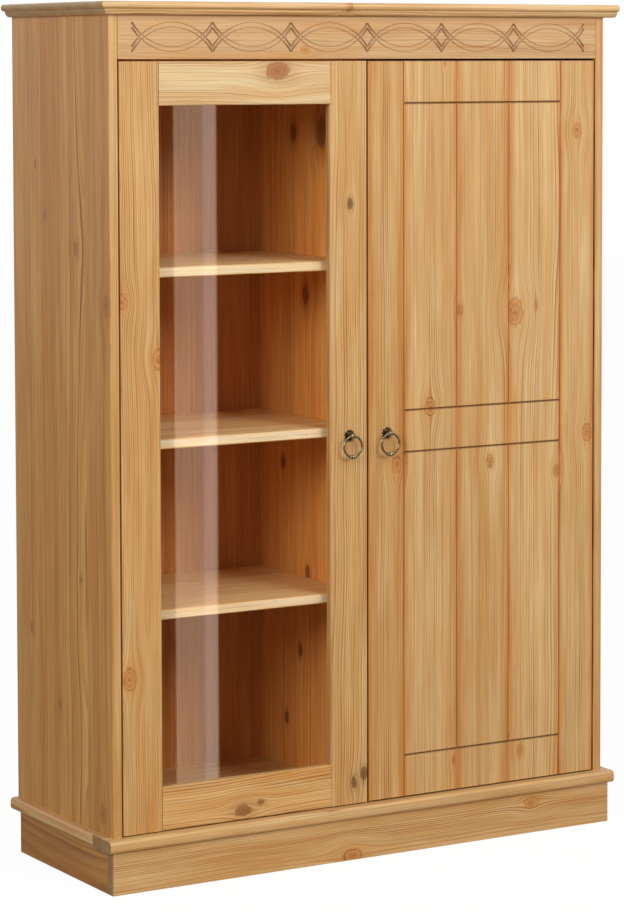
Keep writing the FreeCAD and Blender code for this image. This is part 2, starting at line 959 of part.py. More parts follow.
def hinge_plate(side, height):
    """The plate screwed to the side panel, with rounded wings."""
    near = pivot_y + plate_start
    plate = block(
        side * inner_edge, side * (inner_edge - plate_thickness),
        near, near + plate_length,
        height - plate_height / 2, height + plate_height / 2,
    )
    plate = eased(plate, plate_length / 4, lambda edge: runs_along(edge, RIGHTWARD))
    return plate.cut(hinge_plate_screws(side, height))


def plate_screw_starts(side, height):
    near = pivot_y + plate_start + plate_length / 2
    x = side * (inner_edge - plate_thickness)
    return [FreeCAD.Vector(x, near, height + end * plate_screw_spacing / 2) for end in (-1, 1)]


def hinge_plate_screws(side, height):
    """Screws through a hinge plate into the side panel, heads towards the inside."""
    outward = RIGHTWARD * side
    return [
        screw(
            plate_screw_head_diameter, plate_screw_head_height,
            plate_screw_diameter, plate_screw_length,
            start - outward * (plate_screw_head_height - plate_thickness / 2), outward,
        )
        for start in plate_screw_starts(side, height)
    ]


# Ring pulls: a beaded rosette with a ball on a neck, and a ring through the ball.

def ball_profile(diameter, flat_diameter):
    """A ball's half outline with small flats where it meets its axis."""
    radius = diameter / 2
    turn = math.asin(flat_diameter / diameter)
    profile = []
    for band in range(ball_bands + 1):
        angle = turn + (math.pi - 2 * turn) * band / ball_bands
        profile.append((radius * math.sin(angle), radius * (1 - math.cos(angle))))
    return [(0, profile[0][1])] + profile + [(0, profile[-1][1])]


def placed_handle(shape, side):
    return shape.translated(FreeCAD.Vector(side * handle_x, front, door_middle))


def rosette(side):
    """A round plate with a raised rim and a domed middle, its neck, and the eyed ball."""
    radius = rosette_diameter / 2
    rim = rosette_bead_diameter
    dome = rosette_dome_diameter / 2
    neck = post_neck_diameter / 2
    dome_top = rosette_thickness + rosette_dome_height
    plate = turned([
        (0, 0),
        (radius - rim / 4, 0),
        (radius, rosette_thickness / 2),
        (radius - rim / 4, rosette_thickness),
        (radius - rim / 2, rosette_thickness + rim / 4),
        (radius - rim, rosette_thickness - rim / 4),
        (dome, rosette_thickness - rim / 4),
        ((dome + neck) / 2, (rosette_thickness + dome_top) / 2 + rosette_dome_height / 4),
        (neck, dome_top),
        (neck, post_reach),
        (0, post_reach),
    ], FreeCAD.Vector(0, 0, 0), -BACKWARD, turning_sides)
    ball_start = FreeCAD.Vector(-post_ball_diameter / 2, -post_reach, 0)
    ball = turned(
        ball_profile(post_ball_diameter, post_eye_diameter), ball_start, RIGHTWARD, turning_sides,
    )
    eye = Part.makeCylinder(
        post_eye_diameter / 2, 2 * post_ball_diameter,
        FreeCAD.Vector(-post_ball_diameter, -post_reach, 0), RIGHTWARD,
    )
    screw_bore = rod(
        handle_screw_diameter, FreeCAD.Vector(0, overrun, 0), -BACKWARD,
        handle_screw_grip + overrun, screw_sides,
    )
    return placed_handle(plate.fuse(ball).cut([eye, screw_bore]), side)


def pull_ring(side):
    """A round wire ring with three turned beads at its lowest point."""
    line_radius = (ring_outer_diameter - ring_wire_diameter) / 2
    wire_radius = ring_wire_diameter / 2
    centre = FreeCAD.Vector(0, -post_reach, -line_radius)
    outlines = []
    for outward in spokes_about(BACKWARD, ring_sides):
        middle = centre + outward * line_radius
        outlines.append([
            middle + spoke * wire_radius for spoke in spokes(outward, BACKWARD, wire_sides)
        ])
    ring = chained(outlines, looped=True)
    step_angle = math.degrees(ring_bead_step / line_radius)
    beads = []
    for step, diameter in (
        (-1, ring_side_bead_diameter), (0, ring_bead_diameter), (1, ring_side_bead_diameter),
    ):
        start = centre - UPWARD * line_radius - RIGHTWARD * diameter / 2
        ball = turned(ball_profile(diameter, wire_radius), start, RIGHTWARD, wire_sides)
        beads.append(ball.rotated(centre, BACKWARD, step * step_angle))
    return placed_handle(ring.fuse(beads), side)


def handle_screw_hole(side):
    diameter = handle_screw_diameter + 2 * handle_screw_clearance
    start = FreeCAD.Vector(side * handle_x, front - overrun, door_middle)
    return rod(diameter, start, BACKWARD, door_thickness + 2 * overrun, screw_sides)


def handle_screw(side):
    """The screw from inside the door, with a domed head behind it."""
    head = handle_screw_head_diameter / 2
    shank = handle_screw_diameter / 2
    grip_end = handle_screw_grip + door_thickness
    screw_solid = turned([
        (0, 0),
        (shank, 0),
        (shank, grip_end),
        (head, grip_end),
        (head, grip_end + handle_screw_head_height / 2),
        (head / 2, grip_end + handle_screw_head_height),
        (0, grip_end + handle_screw_head_height),
    ], FreeCAD.Vector(0, -handle_screw_grip, 0), BACKWARD, screw_sides)
    return placed_handle(screw_solid, side)


def all_nodes():
    low_rail, high_rail = rail_spans()
    nodes = {
        "top_board": top_board(),
        "bottom_board": bottom_board(),
        "centre_partition": centre_partition(),
        "back_panel_screws": back_screws(),
        "frieze_board": frieze_board(),
        "plinth_front": plinth_front(),
        "plinth_back": plinth_back(),
        "plinth_glue_blocks": glue_blocks(),
        "ledge_front": ledge_front(),
        "ledge_back": ledge_back(),
        "top_dowels": dowels_at(body_top),
        "base_dowels": dowels_at(body_bottom),
        "door_bumpers": door_bumpers(),
        "left_door_hinge_stile": left_hinge_stile(),
        "left_door_meeting_stile": left_meeting_stile(),
        "left_door_bottom_rail": left_rail(*low_rail),
        "left_door_top_rail": left_rail(*high_rail),
        "left_door_glass": left_glass(),
        "right_door_panel": right_panel(),
        "right_door_batten_bottom": right_batten(door_bottom + batten_end_margin),
        "right_door_batten_top": right_batten(door_top - batten_end_margin - batten_height),
    }
    nodes.update(glazing_beads())
    for name, side in SIDES.items():
        nodes["side_panel_" + name] = side_panel(side)
        nodes["back_panel_" + name] = back_panel(side).cut(back_screws())
        nodes["plinth_" + name] = plinth_side(side)
        nodes["ledge_" + name] = ledge_side(side)
        for row, top in enumerate(shelf_tops, start=1):
            nodes["shelf_%s_%d" % (name, row)] = shelf(side, top)
        nodes["shelf_pins_" + name] = shelf_pins(side)
        nodes[name + "_hinge_cups"] = [hinge_cup(side, height) for height in hinge_heights]
        nodes[name + "_hinge_pins"] = [hinge_pin(side, height) for height in hinge_heights]
        nodes[name + "_hinge_arms"] = [hinge_arm(side, height) for height in hinge_heights]
        nodes[name + "_hinge_plates"] = [hinge_plate(side, height) for height in hinge_heights]
        nodes[name + "_hinge_plate_screws"] = [
            screw_solid for height in hinge_heights for screw_solid in hinge_plate_screws(side, height)
        ]
        nodes[name + "_handle_rosette"] = rosette(side)
        nodes[name + "_handle_ring"] = pull_ring(side)
        nodes[name + "_handle_screw"] = handle_screw(side)
    return nodes


def write(name, shape):
    if isinstance(shape, list):
        shape = Part.makeCompound(shape)
    if not shape.isValid():
        raise ValueError(name + " is not a valid solid")
    shape.exportStep(os.path.join("parts", name + ".step"))
    print(name, len(shape.Solids), round(shape.Volume))


os.makedirs("parts", exist_ok=True)
for node_name, node_shape in all_nodes().items():
    write(node_name, node_shape)
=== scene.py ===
import math

import bmesh
import bpy
from mathutils import Matrix, Vector


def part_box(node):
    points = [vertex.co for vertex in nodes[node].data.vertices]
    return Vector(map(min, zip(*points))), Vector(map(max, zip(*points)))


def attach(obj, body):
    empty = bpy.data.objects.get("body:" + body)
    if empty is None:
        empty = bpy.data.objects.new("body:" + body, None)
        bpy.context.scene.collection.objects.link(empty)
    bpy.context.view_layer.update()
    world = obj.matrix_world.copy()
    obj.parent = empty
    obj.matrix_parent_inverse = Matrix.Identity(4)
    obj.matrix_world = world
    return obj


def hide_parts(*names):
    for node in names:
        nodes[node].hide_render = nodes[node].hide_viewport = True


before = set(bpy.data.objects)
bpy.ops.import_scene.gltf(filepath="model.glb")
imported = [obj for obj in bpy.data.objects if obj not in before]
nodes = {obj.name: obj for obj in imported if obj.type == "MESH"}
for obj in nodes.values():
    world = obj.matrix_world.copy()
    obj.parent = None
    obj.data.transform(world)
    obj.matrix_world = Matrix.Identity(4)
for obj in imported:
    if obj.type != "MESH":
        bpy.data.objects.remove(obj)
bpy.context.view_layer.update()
scene = bpy.context.scene
scene.view_settings.view_transform = "Standard"


def new_object(name, data):
    thing = bpy.data.objects.new(name, data)
    scene.collection.objects.link(thing)
    return thing


# The camera stands left of the cupboard at eye height, far off with a long lens, so that the
# uprights stay nearly parallel. A small lens shift keeps the plinth in the picture.
camera_place = (-2.60195, -4.33463, 1.24646)
camera_turn = math.radians(30.8935)
camera_dip = math.radians(3.8156)
camera_roll = math.radians(-0.1365)

camera_data = bpy.data.cameras.new("camera")
camera_data.lens = 125.26
camera_data.sensor_width = 36
camera_data.shift_y = -0.2
camera_data.clip_end = 40
camera = new_object("camera", camera_data)
scene.camera = camera

level_right = Vector((math.cos(camera_turn), -math.sin(camera_turn), 0))
view_ahead = Vector((
    math.sin(camera_turn) * math.cos(camera_dip),
    math.cos(camera_turn) * math.cos(camera_dip),
    -math.sin(camera_dip),
))
level_up = level_right.cross(view_ahead)
view_right = level_right * math.cos(camera_roll) + level_up * math.sin(camera_roll)
view_up = level_up * math.cos(camera_roll) - level_right * math.sin(camera_roll)
camera.matrix_world = (
    Matrix.Translation(camera_place)
    @ Matrix((view_right, view_up, -view_ahead)).transposed().to_4x4()
)


def linear(colour):
    """An sRGB hex colour as linear red, green, blue and a full alpha."""
    parts = [int(colour[place:place + 2], 16) / 255 for place in (0, 2, 4)]
    return [
        part / 12.92 if part <= 0.04045 else ((part + 0.055) / 1.055) ** 2.4 for part in parts
    ] + [1]


MATH = "ShaderNodeMath"
VECTOR_MATH = "ShaderNodeVectorMath"
MAP_RANGE = "ShaderNodeMapRange"
NOISE = "ShaderNodeTexNoise"
MIX = "ShaderNodeMix"


def add(tree, kind, inputs=None, **settings):
    """Adds a node with its settings, and gives its inputs their values or links. A node that
    is given as a value stands for its first output."""
    node = tree.nodes.new(kind)
    for setting, value in settings.items():
        setattr(node, setting, value)
    for socket, value in (inputs or {}).items():
        if isinstance(value, bpy.types.Node):
            value = value.outputs[0]
        if isinstance(value, bpy.types.NodeSocket):
            tree.links.new(value, node.inputs[socket])
        else:
            node.inputs[socket].default_value = value
    return node


def new_material(name):
    material = bpy.data.materials.new(name)
    material.use_nodes = True
    material.node_tree.nodes.clear()
    return material


def seen_plainly(tree, mirrored=1.0):
    """One where the camera looks straight at something or through glass, and the given
    share of that where it looks at it in a reflection."""
    path = add(tree, "ShaderNodeLightPath").outputs
    in_mirror = add(tree, MATH, {0: path["Is Glossy Ray"], 1: mirrored}, operation="MULTIPLY")
    straight = add(tree, MATH, {0: path["Is Camera Ray"], 1: in_mirror}, operation="MAXIMUM")
    return add(tree, MATH, {0: straight, 1: path["Is Transmission Ray"]}, operation="MAXIMUM")


# A plain pale studio: a white sweep of floor that still takes the cupboard's soft shadow,
# and white surroundings for the camera, the glass and the metal.
floor_half = 12.0
paper_shade = "b9aa98"
paper_glow = 1.04
paper_seen_white = 0.94
paper_mirrored = 0.15
room_light = 0.165

floor_mesh = bpy.data.meshes.new("studio_floor")
floor_mesh.from_pydata(
    [(x * floor_half, y * floor_half, 0) for x, y in ((-1, -1), (1, -1), (1, 1), (-1, 1))],
    [], [(0, 1, 2, 3)],
)
floor = new_object("studio_floor", floor_mesh)

paper = new_material("white paper sweep")
tree = paper.node_tree
lit_paper = add(tree, "ShaderNodeBsdfDiffuse", {"Color": linear(paper_shade)})
white_paper = add(tree, "ShaderNodeEmission", {"Color": (1, 1, 1, 1), "Strength": paper_glow})
white_share = add(tree, MATH, {
    0: seen_plainly(tree, paper_mirrored), 1: paper_seen_white,
}, operation="MULTIPLY")
paper_mix = add(tree, "ShaderNodeMixShader", {0: white_share, 1: lit_paper, 2: white_paper})
add(tree, "ShaderNodeOutputMaterial", {"Surface": paper_mix})
floor_mesh.materials.append(paper)

surroundings = bpy.data.worlds.new("studio surroundings")
surroundings.use_nodes = True
tree = surroundings.node_tree
tree.nodes.clear()
plain_white = add(tree, MAP_RANGE, {"Value": seen_plainly(tree), "To Min": room_light})
add(tree, "ShaderNodeOutputWorld", {"Surface": add(tree, "ShaderNodeBackground", {
    "Color": (1, 1, 1, 1), "Strength": plain_white,
})})
scene.world = surroundings


# Four soft lamps: one high in front, a larger one for the left side, which the photograph
# shows a good deal darker than the front, a low one from the right for the sheen on the wax,
# and a cool one for the top.
def soft_lamp(name, place, target, width, height, watts, colour):
    """A rectangular lamp that faces its target."""
    data = bpy.data.lights.new(name, "AREA")
    data.shape = "RECTANGLE"
    data.size = width
    data.size_y = height
    data.energy = watts
    data.color = linear(colour)[:3]
    lamp = new_object(name, data)
    lamp.location = place
    lamp.rotation_euler = (Vector(target) - Vector(place)).to_track_quat("-Z", "Y").to_euler()


soft_lamp("front_lamp", (0.7, -4.1, 2.8), (0, 0, 0.8), 1.1, 1.6, 75, "fff6e8")
soft_lamp("side_lamp", (-3.75, -2.4, 2.4), (0, 0, 0.7), 1.8, 1.8, 105, "fff4e4")
soft_lamp("sheen_lamp", (2.9, -4.2, 2.3), (0, 0, 0.9), 0.9, 1.2, 26, "fff8ee")
soft_lamp("top_lamp", (0.2, -1.9, 3.1), (0, 0, 1.1), 1.4, 0.8, 17, "f0f4ff")


# What the pane mirrors: a dark flag close in front of it keeps the glass clear, and a pale
# strip in the flag, brighter at one edge, draws an upright band of light. Only mirror-like
# surfaces see them, and a look straight through the open door's pane doesn't.
def card(name, low, high, y, colour, strength):
    """An upright card that is seen in reflections only."""
    mesh = bpy.data.meshes.new(name)
    corners = ((low[0], low[1]), (high[0], low[1]), (high[0], high[1]), (low[0], high[1]))
    mesh.from_pydata([(x, y, z) for x, z in corners], [], [(0, 1, 2, 3)])
    material = new_material(name)
    tree = material.node_tree
    unseen = add(tree, "ShaderNodeBsdfTransparent")
    glow = add(tree, "ShaderNodeEmission", {"Color": linear(colour), "Strength": strength})
    mirrored = add(tree, "ShaderNodeLightPath").outputs["Glossy Depth"]
    mirrored = add(tree, MATH, {0: mirrored, 1: 1.0}, operation="MINIMUM")
    seen = add(tree, "ShaderNodeMixShader", {0: mirrored, 1: unseen, 2: glow})
    add(tree, "ShaderNodeOutputMaterial", {"Surface": seen})
    mesh.materials.append(material)
    piece = new_object(name, mesh)
    piece.visible_camera = False
    piece.visible_diffuse = False
    piece.visible_shadow = False


card("dark_flag", (-0.30, 0.005), (0.34, 1.30), -0.602, "141210", 1.0)
card("pale_strip", (-0.0935, 0.005), (-0.0116, 1.30), -0.600, "ffdab8", 2.2)
card("pale_strip_edge", (-0.0383, 0.005), (-0.0154, 1.30), -0.599, "ffe2cc", 3.0)


# Pine boards, planed, sanded and waxed. Every board is cut from a log, so its figure is drawn
# as growth rings round a pith line that runs along the board and wanders, and the cut shows
# as straight grain at the board's edges and arches in its middle. Knots push the grain aside.
pine_light = "e4cb9a"
pine_warm = "cc9f61"
pine_line = "9c612b"
knot_heart = "cc9150"
knot_rim = "823e12"
blotch_warm = (0.98, 0.84, 0.66, 1)
blotch_pale = (1.04, 1.06, 1.08, 1)
wax_tint = "f0c898"
# The brown of the cuts is partly stained wax and partly painted shade in their hollows.
cut_stain_and_shade_brown = "6e3a10"

ring_width = 0.0023
ring_ripple = 0.0014
year_drift = 0.37
year_swing = 1.6
late_wood_levels = ((0.35, 0.14), (0.68, 0.62), (0.86, 1.0), (0.95, 0.35))
pith_spread = 3.2
pith_wander = 0.012
pith_depth_least = 0.008
pith_depth_wander = 0.03
pith_depth_range = 0.05
stave_seed_step = 7.31
stave_noise_step = 3.17
stave_ring_step = 17.0

# Patterns, in repeats to the metre along and across the grain.
wander_repeats = 1.3
ripple_repeats = (2.0, 34, 34)
patch_repeats = (1.6, 42, 42)
fibre_repeats = (9, 430, 430)
blotch_repeats = (5, 58, 58)
ragged_repeats = 150.0
streak_repeats = (90, 90, 5)

# Knots, in knot radii from the middle.
knot_narrowness = 0.62
knot_pull = 0.9
knot_pull_reach = 2.4
knot_ragged = 1.3
knot_ring_rate = 14.0
halo_from, halo_to, halo_share = 2.6, 0.9, 0.3
core_from, core_to, core_share = 0.45, 0.1, 0.6
heart_from, heart_to, heart_share = 1.05, 0.8, 0.8
rim_width = 0.18

end_grain_shade = -0.5
fibre_height = 0.35
grain_relief = 0.25
grain_height = 0.0004
wax_roughness = 0.42
wax_reach = 0.03
wax_share = 0.75
# How dark the cuts are painted: partly stained wax, partly painted shade in the hollows.
cut_stain_and_shade_strength = 0.9
cut_start = 0.0001
cut_end = 0.004


def new_group(name, kind, inputs, outputs):
    """A node group with its sockets, given as names and kinds, and what flows in by them."""
    group = bpy.data.node_groups.new(name, kind)
    for sockets, way in ((inputs, "INPUT"), (outputs, "OUTPUT")):
        for socket, value in sockets.items():
            group.interface.new_socket(socket, in_out=way, socket_type="NodeSocket" + value)
    return group, add(group, "NodeGroupInput").outputs


knot_group, given = new_group("knot in pine", "ShaderNodeTree", {
    "Point": "Vector", "Centre": "Vector", "Radius": "Float", "Nearness": "Float",
}, {"Point": "Vector", "Nearness": "Float"})
offset = add(knot_group, VECTOR_MATH, {0: given["Point"], 1: given["Centre"]}, operation="SUBTRACT")
oval = add(knot_group, VECTOR_MATH, {0: offset, 1: (knot_narrowness, 1, 0)}, operation="MULTIPLY")
oval_length = add(knot_group, VECTOR_MATH, {0: oval}, operation="LENGTH").outputs["Value"]
radii_away = add(knot_group, MATH, {0: oval_length, 1: given["Radius"]}, operation="DIVIDE")
fade = add(knot_group, MATH, {0: radii_away, 1: knot_pull_reach}, operation="DIVIDE")
fade = add(knot_group, MATH, {0: fade, 1: fade}, operation="MULTIPLY")
fade = add(knot_group, MATH, {0: fade, 1: -1.0}, operation="MULTIPLY")
fade = add(knot_group, MATH, {0: fade}, operation="EXPONENT")
pull = add(knot_group, MATH, {0: fade, 1: knot_pull}, operation="MULTIPLY")
sideways = add(knot_group, VECTOR_MATH, {0: offset, 1: (0, 1, 0)}, operation="MULTIPLY")
push = add(knot_group, VECTOR_MATH, {0: sideways, "Scale": pull}, operation="SCALE")
pushed_point = add(knot_group, VECTOR_MATH, {0: given["Point"], 1: push}, operation="SUBTRACT")
nearest = add(knot_group, MATH, {0: radii_away, 1: given["Nearness"]}, operation="MINIMUM")
add(knot_group, "NodeGroupOutput", {"Point": pushed_point, "Nearness": nearest})

figure, given = new_group("pine figure", "ShaderNodeTree", {
    "Point": "Vector", "Nearness": "Float", "Seed": "Float", "Stave width": "Float",
    "Stave edge": "Float", "End grain": "Float", "Light wood": "Color", "Warm wood": "Color",
    "Ring line": "Color", "Knot heart": "Color", "Knot rim": "Color", "Contrast": "Float",
}, {"Colour": "Color", "Height": "Float"})
place = add(figure, "ShaderNodeSeparateXYZ", {0: given["Point"]}).outputs
staves = add(figure, MATH, {0: place["Y"], 1: given["Stave edge"]}, operation="SUBTRACT")
staves = add(figure, MATH, {0: staves, 1: given["Stave width"]}, operation="DIVIDE")
stave = add(figure, MATH, {0: staves}, operation="FLOOR")
board_number = add(figure, MATH, {
    0: stave, 1: stave_seed_step, 2: given["Seed"],
}, operation="MULTIPLY_ADD")
chance = add(figure, "ShaderNodeTexWhiteNoise", {"W": board_number}, noise_dimensions="1D")
chances = add(figure, "ShaderNodeSeparateColor", {0: chance.outputs["Color"]}).outputs
within = add(figure, MATH, {0: staves, 1: stave}, operation="SUBTRACT")
pith_side = add(figure, MATH, {0: chances[0], 1: 0.5}, operation="SUBTRACT")
pith_sign = add(figure, MATH, {0: pith_side}, operation="SIGN")
pith_at = add(figure, MATH, {0: pith_side, 1: pith_spread, 2: 0.5}, operation="MULTIPLY_ADD")
pith_at = add(figure, MATH, {0: pith_sign, 1: 0.5, 2: pith_at}, operation="MULTIPLY_ADD")
within = add(figure, MATH, {0: within, 1: pith_at}, operation="SUBTRACT")
from_pith = add(figure, MATH, {0: within, 1: given["Stave width"]}, operation="MULTIPLY")

along_slow = add(figure, MATH, {0: place["X"], 1: wander_repeats}, operation="MULTIPLY")
board_shift = add(figure, MATH, {0: board_number, 1: stave_noise_step}, operation="MULTIPLY")
wander_at = add(figure, "ShaderNodeCombineXYZ", {0: along_slow, 1: board_shift})
wander = add(figure, NOISE, {"Vector": wander_at, "Scale": 1.0, "Detail": 2.0})
wanders = add(figure, "ShaderNodeSeparateColor", {0: wander.outputs["Color"]}).outputs
pith_aside = add(figure, MATH, {
    0: wanders[0], 1: pith_wander, 2: -pith_wander / 2,
}, operation="MULTIPLY_ADD")
pith_depth = add(figure, MATH, {
    0: wanders[1], 1: pith_depth_wander, 2: pith_depth_least,
}, operation="MULTIPLY_ADD")
pith_depth = add(figure, MATH, {
    0: chances[1], 1: pith_depth_range, 2: pith_depth,
}, operation="MULTIPLY_ADD")
aside = add(figure, MATH, {0: from_pith, 1: pith_aside}, operation="ADD")
deep = add(figure, MATH, {0: place["Z"], 1: pith_depth}, operation="ADD")
spoke = add(figure, "ShaderNodeCombineXYZ", {0: aside, 1: deep})
from_heart = add(figure, VECTOR_MATH, {0: spoke}, operation="LENGTH").outputs["Value"]

ripple_at = add(figure, VECTOR_MATH, {0: given["Point"], 1: ripple_repeats}, operation="MULTIPLY")
ripple = add(figure, NOISE, {"Vector": ripple_at, "Scale": 1.0, "Detail": 3.0, "Roughness": 0.55})
rings = add(figure, MATH, {0: ripple, 1: ring_ripple, 2: from_heart}, operation="MULTIPLY_ADD")
rings = add(figure, MATH, {0: rings, 1: ring_width}, operation="DIVIDE")
year_shift = add(figure, MATH, {0: rings, 1: year_drift, 2: board_number}, operation="MULTIPLY_ADD")
years = add(figure, NOISE, {"W": year_shift, "Scale": 1.0, "Detail": 1.0}, noise_dimensions="1D")
rings = add(figure, MATH, {0: years, 1: year_swing, 2: rings}, operation="MULTIPLY_ADD")
season = add(figure, MATH, {0: rings}, operation="FRACT")
late_wood = add(figure, "ShaderNodeValToRGB", {0: season})
late_wood.color_ramp.elements[0].color = (0, 0, 0, 1)
late_wood.color_ramp.elements[1].color = (0, 0, 0, 1)
for position, level in late_wood_levels:
    late_wood.color_ramp.elements.new(position).color = (level, level, level, 1)

patch_at = add(figure, VECTOR_MATH, {0: given["Point"], 1: patch_repeats}, operation="MULTIPLY")
patch_at = add(figure, VECTOR_MATH, {0: patch_at, 1: wander_at}, operation="ADD")
patches = add(figure, NOISE, {"Vector": patch_at, "Scale": 1.0, "Detail": 3.0})
patch = add(figure, "ShaderNodeSeparateColor", {0: patches.outputs["Color"]}).outputs
late_strength = add(figure, MAP_RANGE, {
    "Value": patch[0], "From Min": 0.32, "From Max": 0.68, "To Min": 0.35, "To Max": 1.1,
})
ring_number = add(figure, MATH, {0: rings}, operation="FLOOR")
ring_number = add(figure, MATH, {
    0: board_number, 1: stave_ring_step, 2: ring_number,
}, operation="MULTIPLY_ADD")
ring_chance = add(figure, "ShaderNodeTexWhiteNoise", {"W": ring_number}, noise_dimensions="1D")
ring_strength = add(figure, MAP_RANGE, {"Value": ring_chance, "To Min": 0.35, "To Max": 1.35})
late = add(figure, MATH, {0: late_wood, 1: ring_strength}, operation="MULTIPLY")
late_share = add(figure, MATH, {0: late, 1: late_strength}, operation="MULTIPLY")
late_share = add(figure, MATH, {0: late_share, 1: given["Contrast"]}, operation="MULTIPLY")

warmth = add(figure, MAP_RANGE, {"Value": patch[1], "From Min": 0.3, "From Max": 0.7})
warmth = add(figure, MATH, {0: chances[2], 1: 0.55, 2: warmth}, operation="MULTIPLY_ADD")
warmth = add(figure, MATH, {0: warmth, 1: 0.65}, operation="MULTIPLY", use_clamp=True)
wood = add(figure, MIX, {
    0: warmth, 6: given["Light wood"], 7: given["Warm wood"],
}, data_type="RGBA").outputs[2]
ringed = add(figure, MIX, {
    0: late_share, 6: wood, 7: given["Ring line"],
}, data_type="RGBA").outputs[2]

fibre_at = add(figure, VECTOR_MATH, {0: given["Point"], 1: fibre_repeats}, operation="MULTIPLY")
fibre = add(figure, NOISE, {"Vector": fibre_at, "Scale": 1.0, "Detail": 2.0})
blotch_at = add(figure, VECTOR_MATH, {0: given["Point"], 1: blotch_repeats}, operation="MULTIPLY")
blotch = add(figure, NOISE, {
    "Vector": blotch_at, "Scale": 1.0, "Detail": 5.0, "Roughness": 0.6, "Distortion": 0.6,
})
blotch_share = add(figure, MAP_RANGE, {"Value": blotch, "From Min": 0.32, "From Max": 0.68})
blotch_tint = add(figure, MIX, {
    0: blotch_share, 6: blotch_warm, 7: blotch_pale,
}, data_type="RGBA").outputs[2]
fibre_shade = add(figure, MAP_RANGE, {
    "Value": fibre, "From Min": 0.25, "From Max": 0.75, "To Min": 0.85, "To Max": 1.08,
})
end_shade = add(figure, MATH, {
    0: given["End grain"], 1: end_grain_shade, 2: 1.0,
}, operation="MULTIPLY_ADD")
shade = add(figure, MATH, {0: fibre_shade, 1: end_shade}, operation="MULTIPLY")
fibred = add(figure, VECTOR_MATH, {0: ringed, "Scale": shade}, operation="SCALE")
fibred = add(figure, VECTOR_MATH, {0: fibred, 1: blotch_tint}, operation="MULTIPLY")

ragged_at = add(figure, VECTOR_MATH, {
    0: given["Point"], "Scale": ragged_repeats,
}, operation="SCALE")
ragged = add(figure, NOISE, {"Vector": ragged_at, "Scale": 1.0, "Detail": 3.0})
nearness = add(figure, MATH, {
    0: ragged, 1: knot_ragged, 2: given["Nearness"],
}, operation="MULTIPLY_ADD")
nearness = add(figure, MATH, {0: nearness, 1: knot_ragged / 2}, operation="SUBTRACT")
halo = add(figure, MAP_RANGE, {
    "Value": given["Nearness"], "From Min": halo_from, "From Max": halo_to, "To Max": halo_share,
}, interpolation_type="SMOOTHSTEP")
haloed = add(figure, MIX, {0: halo, 6: fibred, 7: given["Knot heart"]}, data_type="RGBA").outputs[2]
knot_turns = add(figure, MATH, {0: ripple, 1: 0.9, 2: given["Nearness"]}, operation="MULTIPLY_ADD")
knot_turns = add(figure, MATH, {0: knot_turns, 1: knot_ring_rate}, operation="MULTIPLY")
knot_rings = add(figure, MATH, {0: knot_turns}, operation="SINE")
knot_rings = add(figure, MAP_RANGE, {
    "Value": knot_rings, "From Min": -0.4, "From Max": 1.0, "To Max": 0.9,
})
knot_rings = add(figure, MATH, {0: knot_rings, 1: ragged}, operation="MULTIPLY")
knot_core = add(figure, MAP_RANGE, {
    "Value": nearness, "From Min": core_from, "From Max": core_to, "To Max": core_share,
}, interpolation_type="SMOOTHSTEP")
knot_rings = add(figure, MATH, {0: knot_rings, 1: knot_core}, operation="MAXIMUM")
knot_wood = add(figure, MIX, {
    0: knot_rings, 6: given["Knot heart"], 7: given["Knot rim"],
}, data_type="RGBA").outputs[2]
knot_inside = add(figure, MAP_RANGE, {
    "Value": nearness, "From Min": heart_from, "From Max": heart_to, "To Max": heart_share,
}, interpolation_type="SMOOTHSTEP")
knotted = add(figure, MIX, {0: knot_inside, 6: haloed, 7: knot_wood}, data_type="RGBA").outputs[2]
rim_gap = add(figure, MATH, {0: nearness, 1: -1.0}, operation="ADD")
rim_gap = add(figure, MATH, {0: rim_gap}, operation="ABSOLUTE")
rim_depth = add(figure, MAP_RANGE, {
    "Value": ragged, "From Min": 0.4, "From Max": 0.65, "To Min": 0.1, "To Max": 0.8,
})
rim_share = add(figure, MAP_RANGE, {
    "Value": rim_gap, "From Min": rim_width, "From Max": 0.0, "To Max": rim_depth,
}, interpolation_type="SMOOTHSTEP")
finished = add(figure, MIX, {
    0: rim_share, 6: knotted, 7: given["Knot rim"],
}, data_type="RGBA").outputs[2]
height = add(figure, MATH, {0: fibre, 1: fibre_height, 2: late_share}, operation="MULTIPLY_ADD")
add(figure, "NodeGroupOutput", {"Colour": finished, "Height": height})

AXES = {"x": 0, "y": 1, "z": 2}
far_from_knots = 9.0


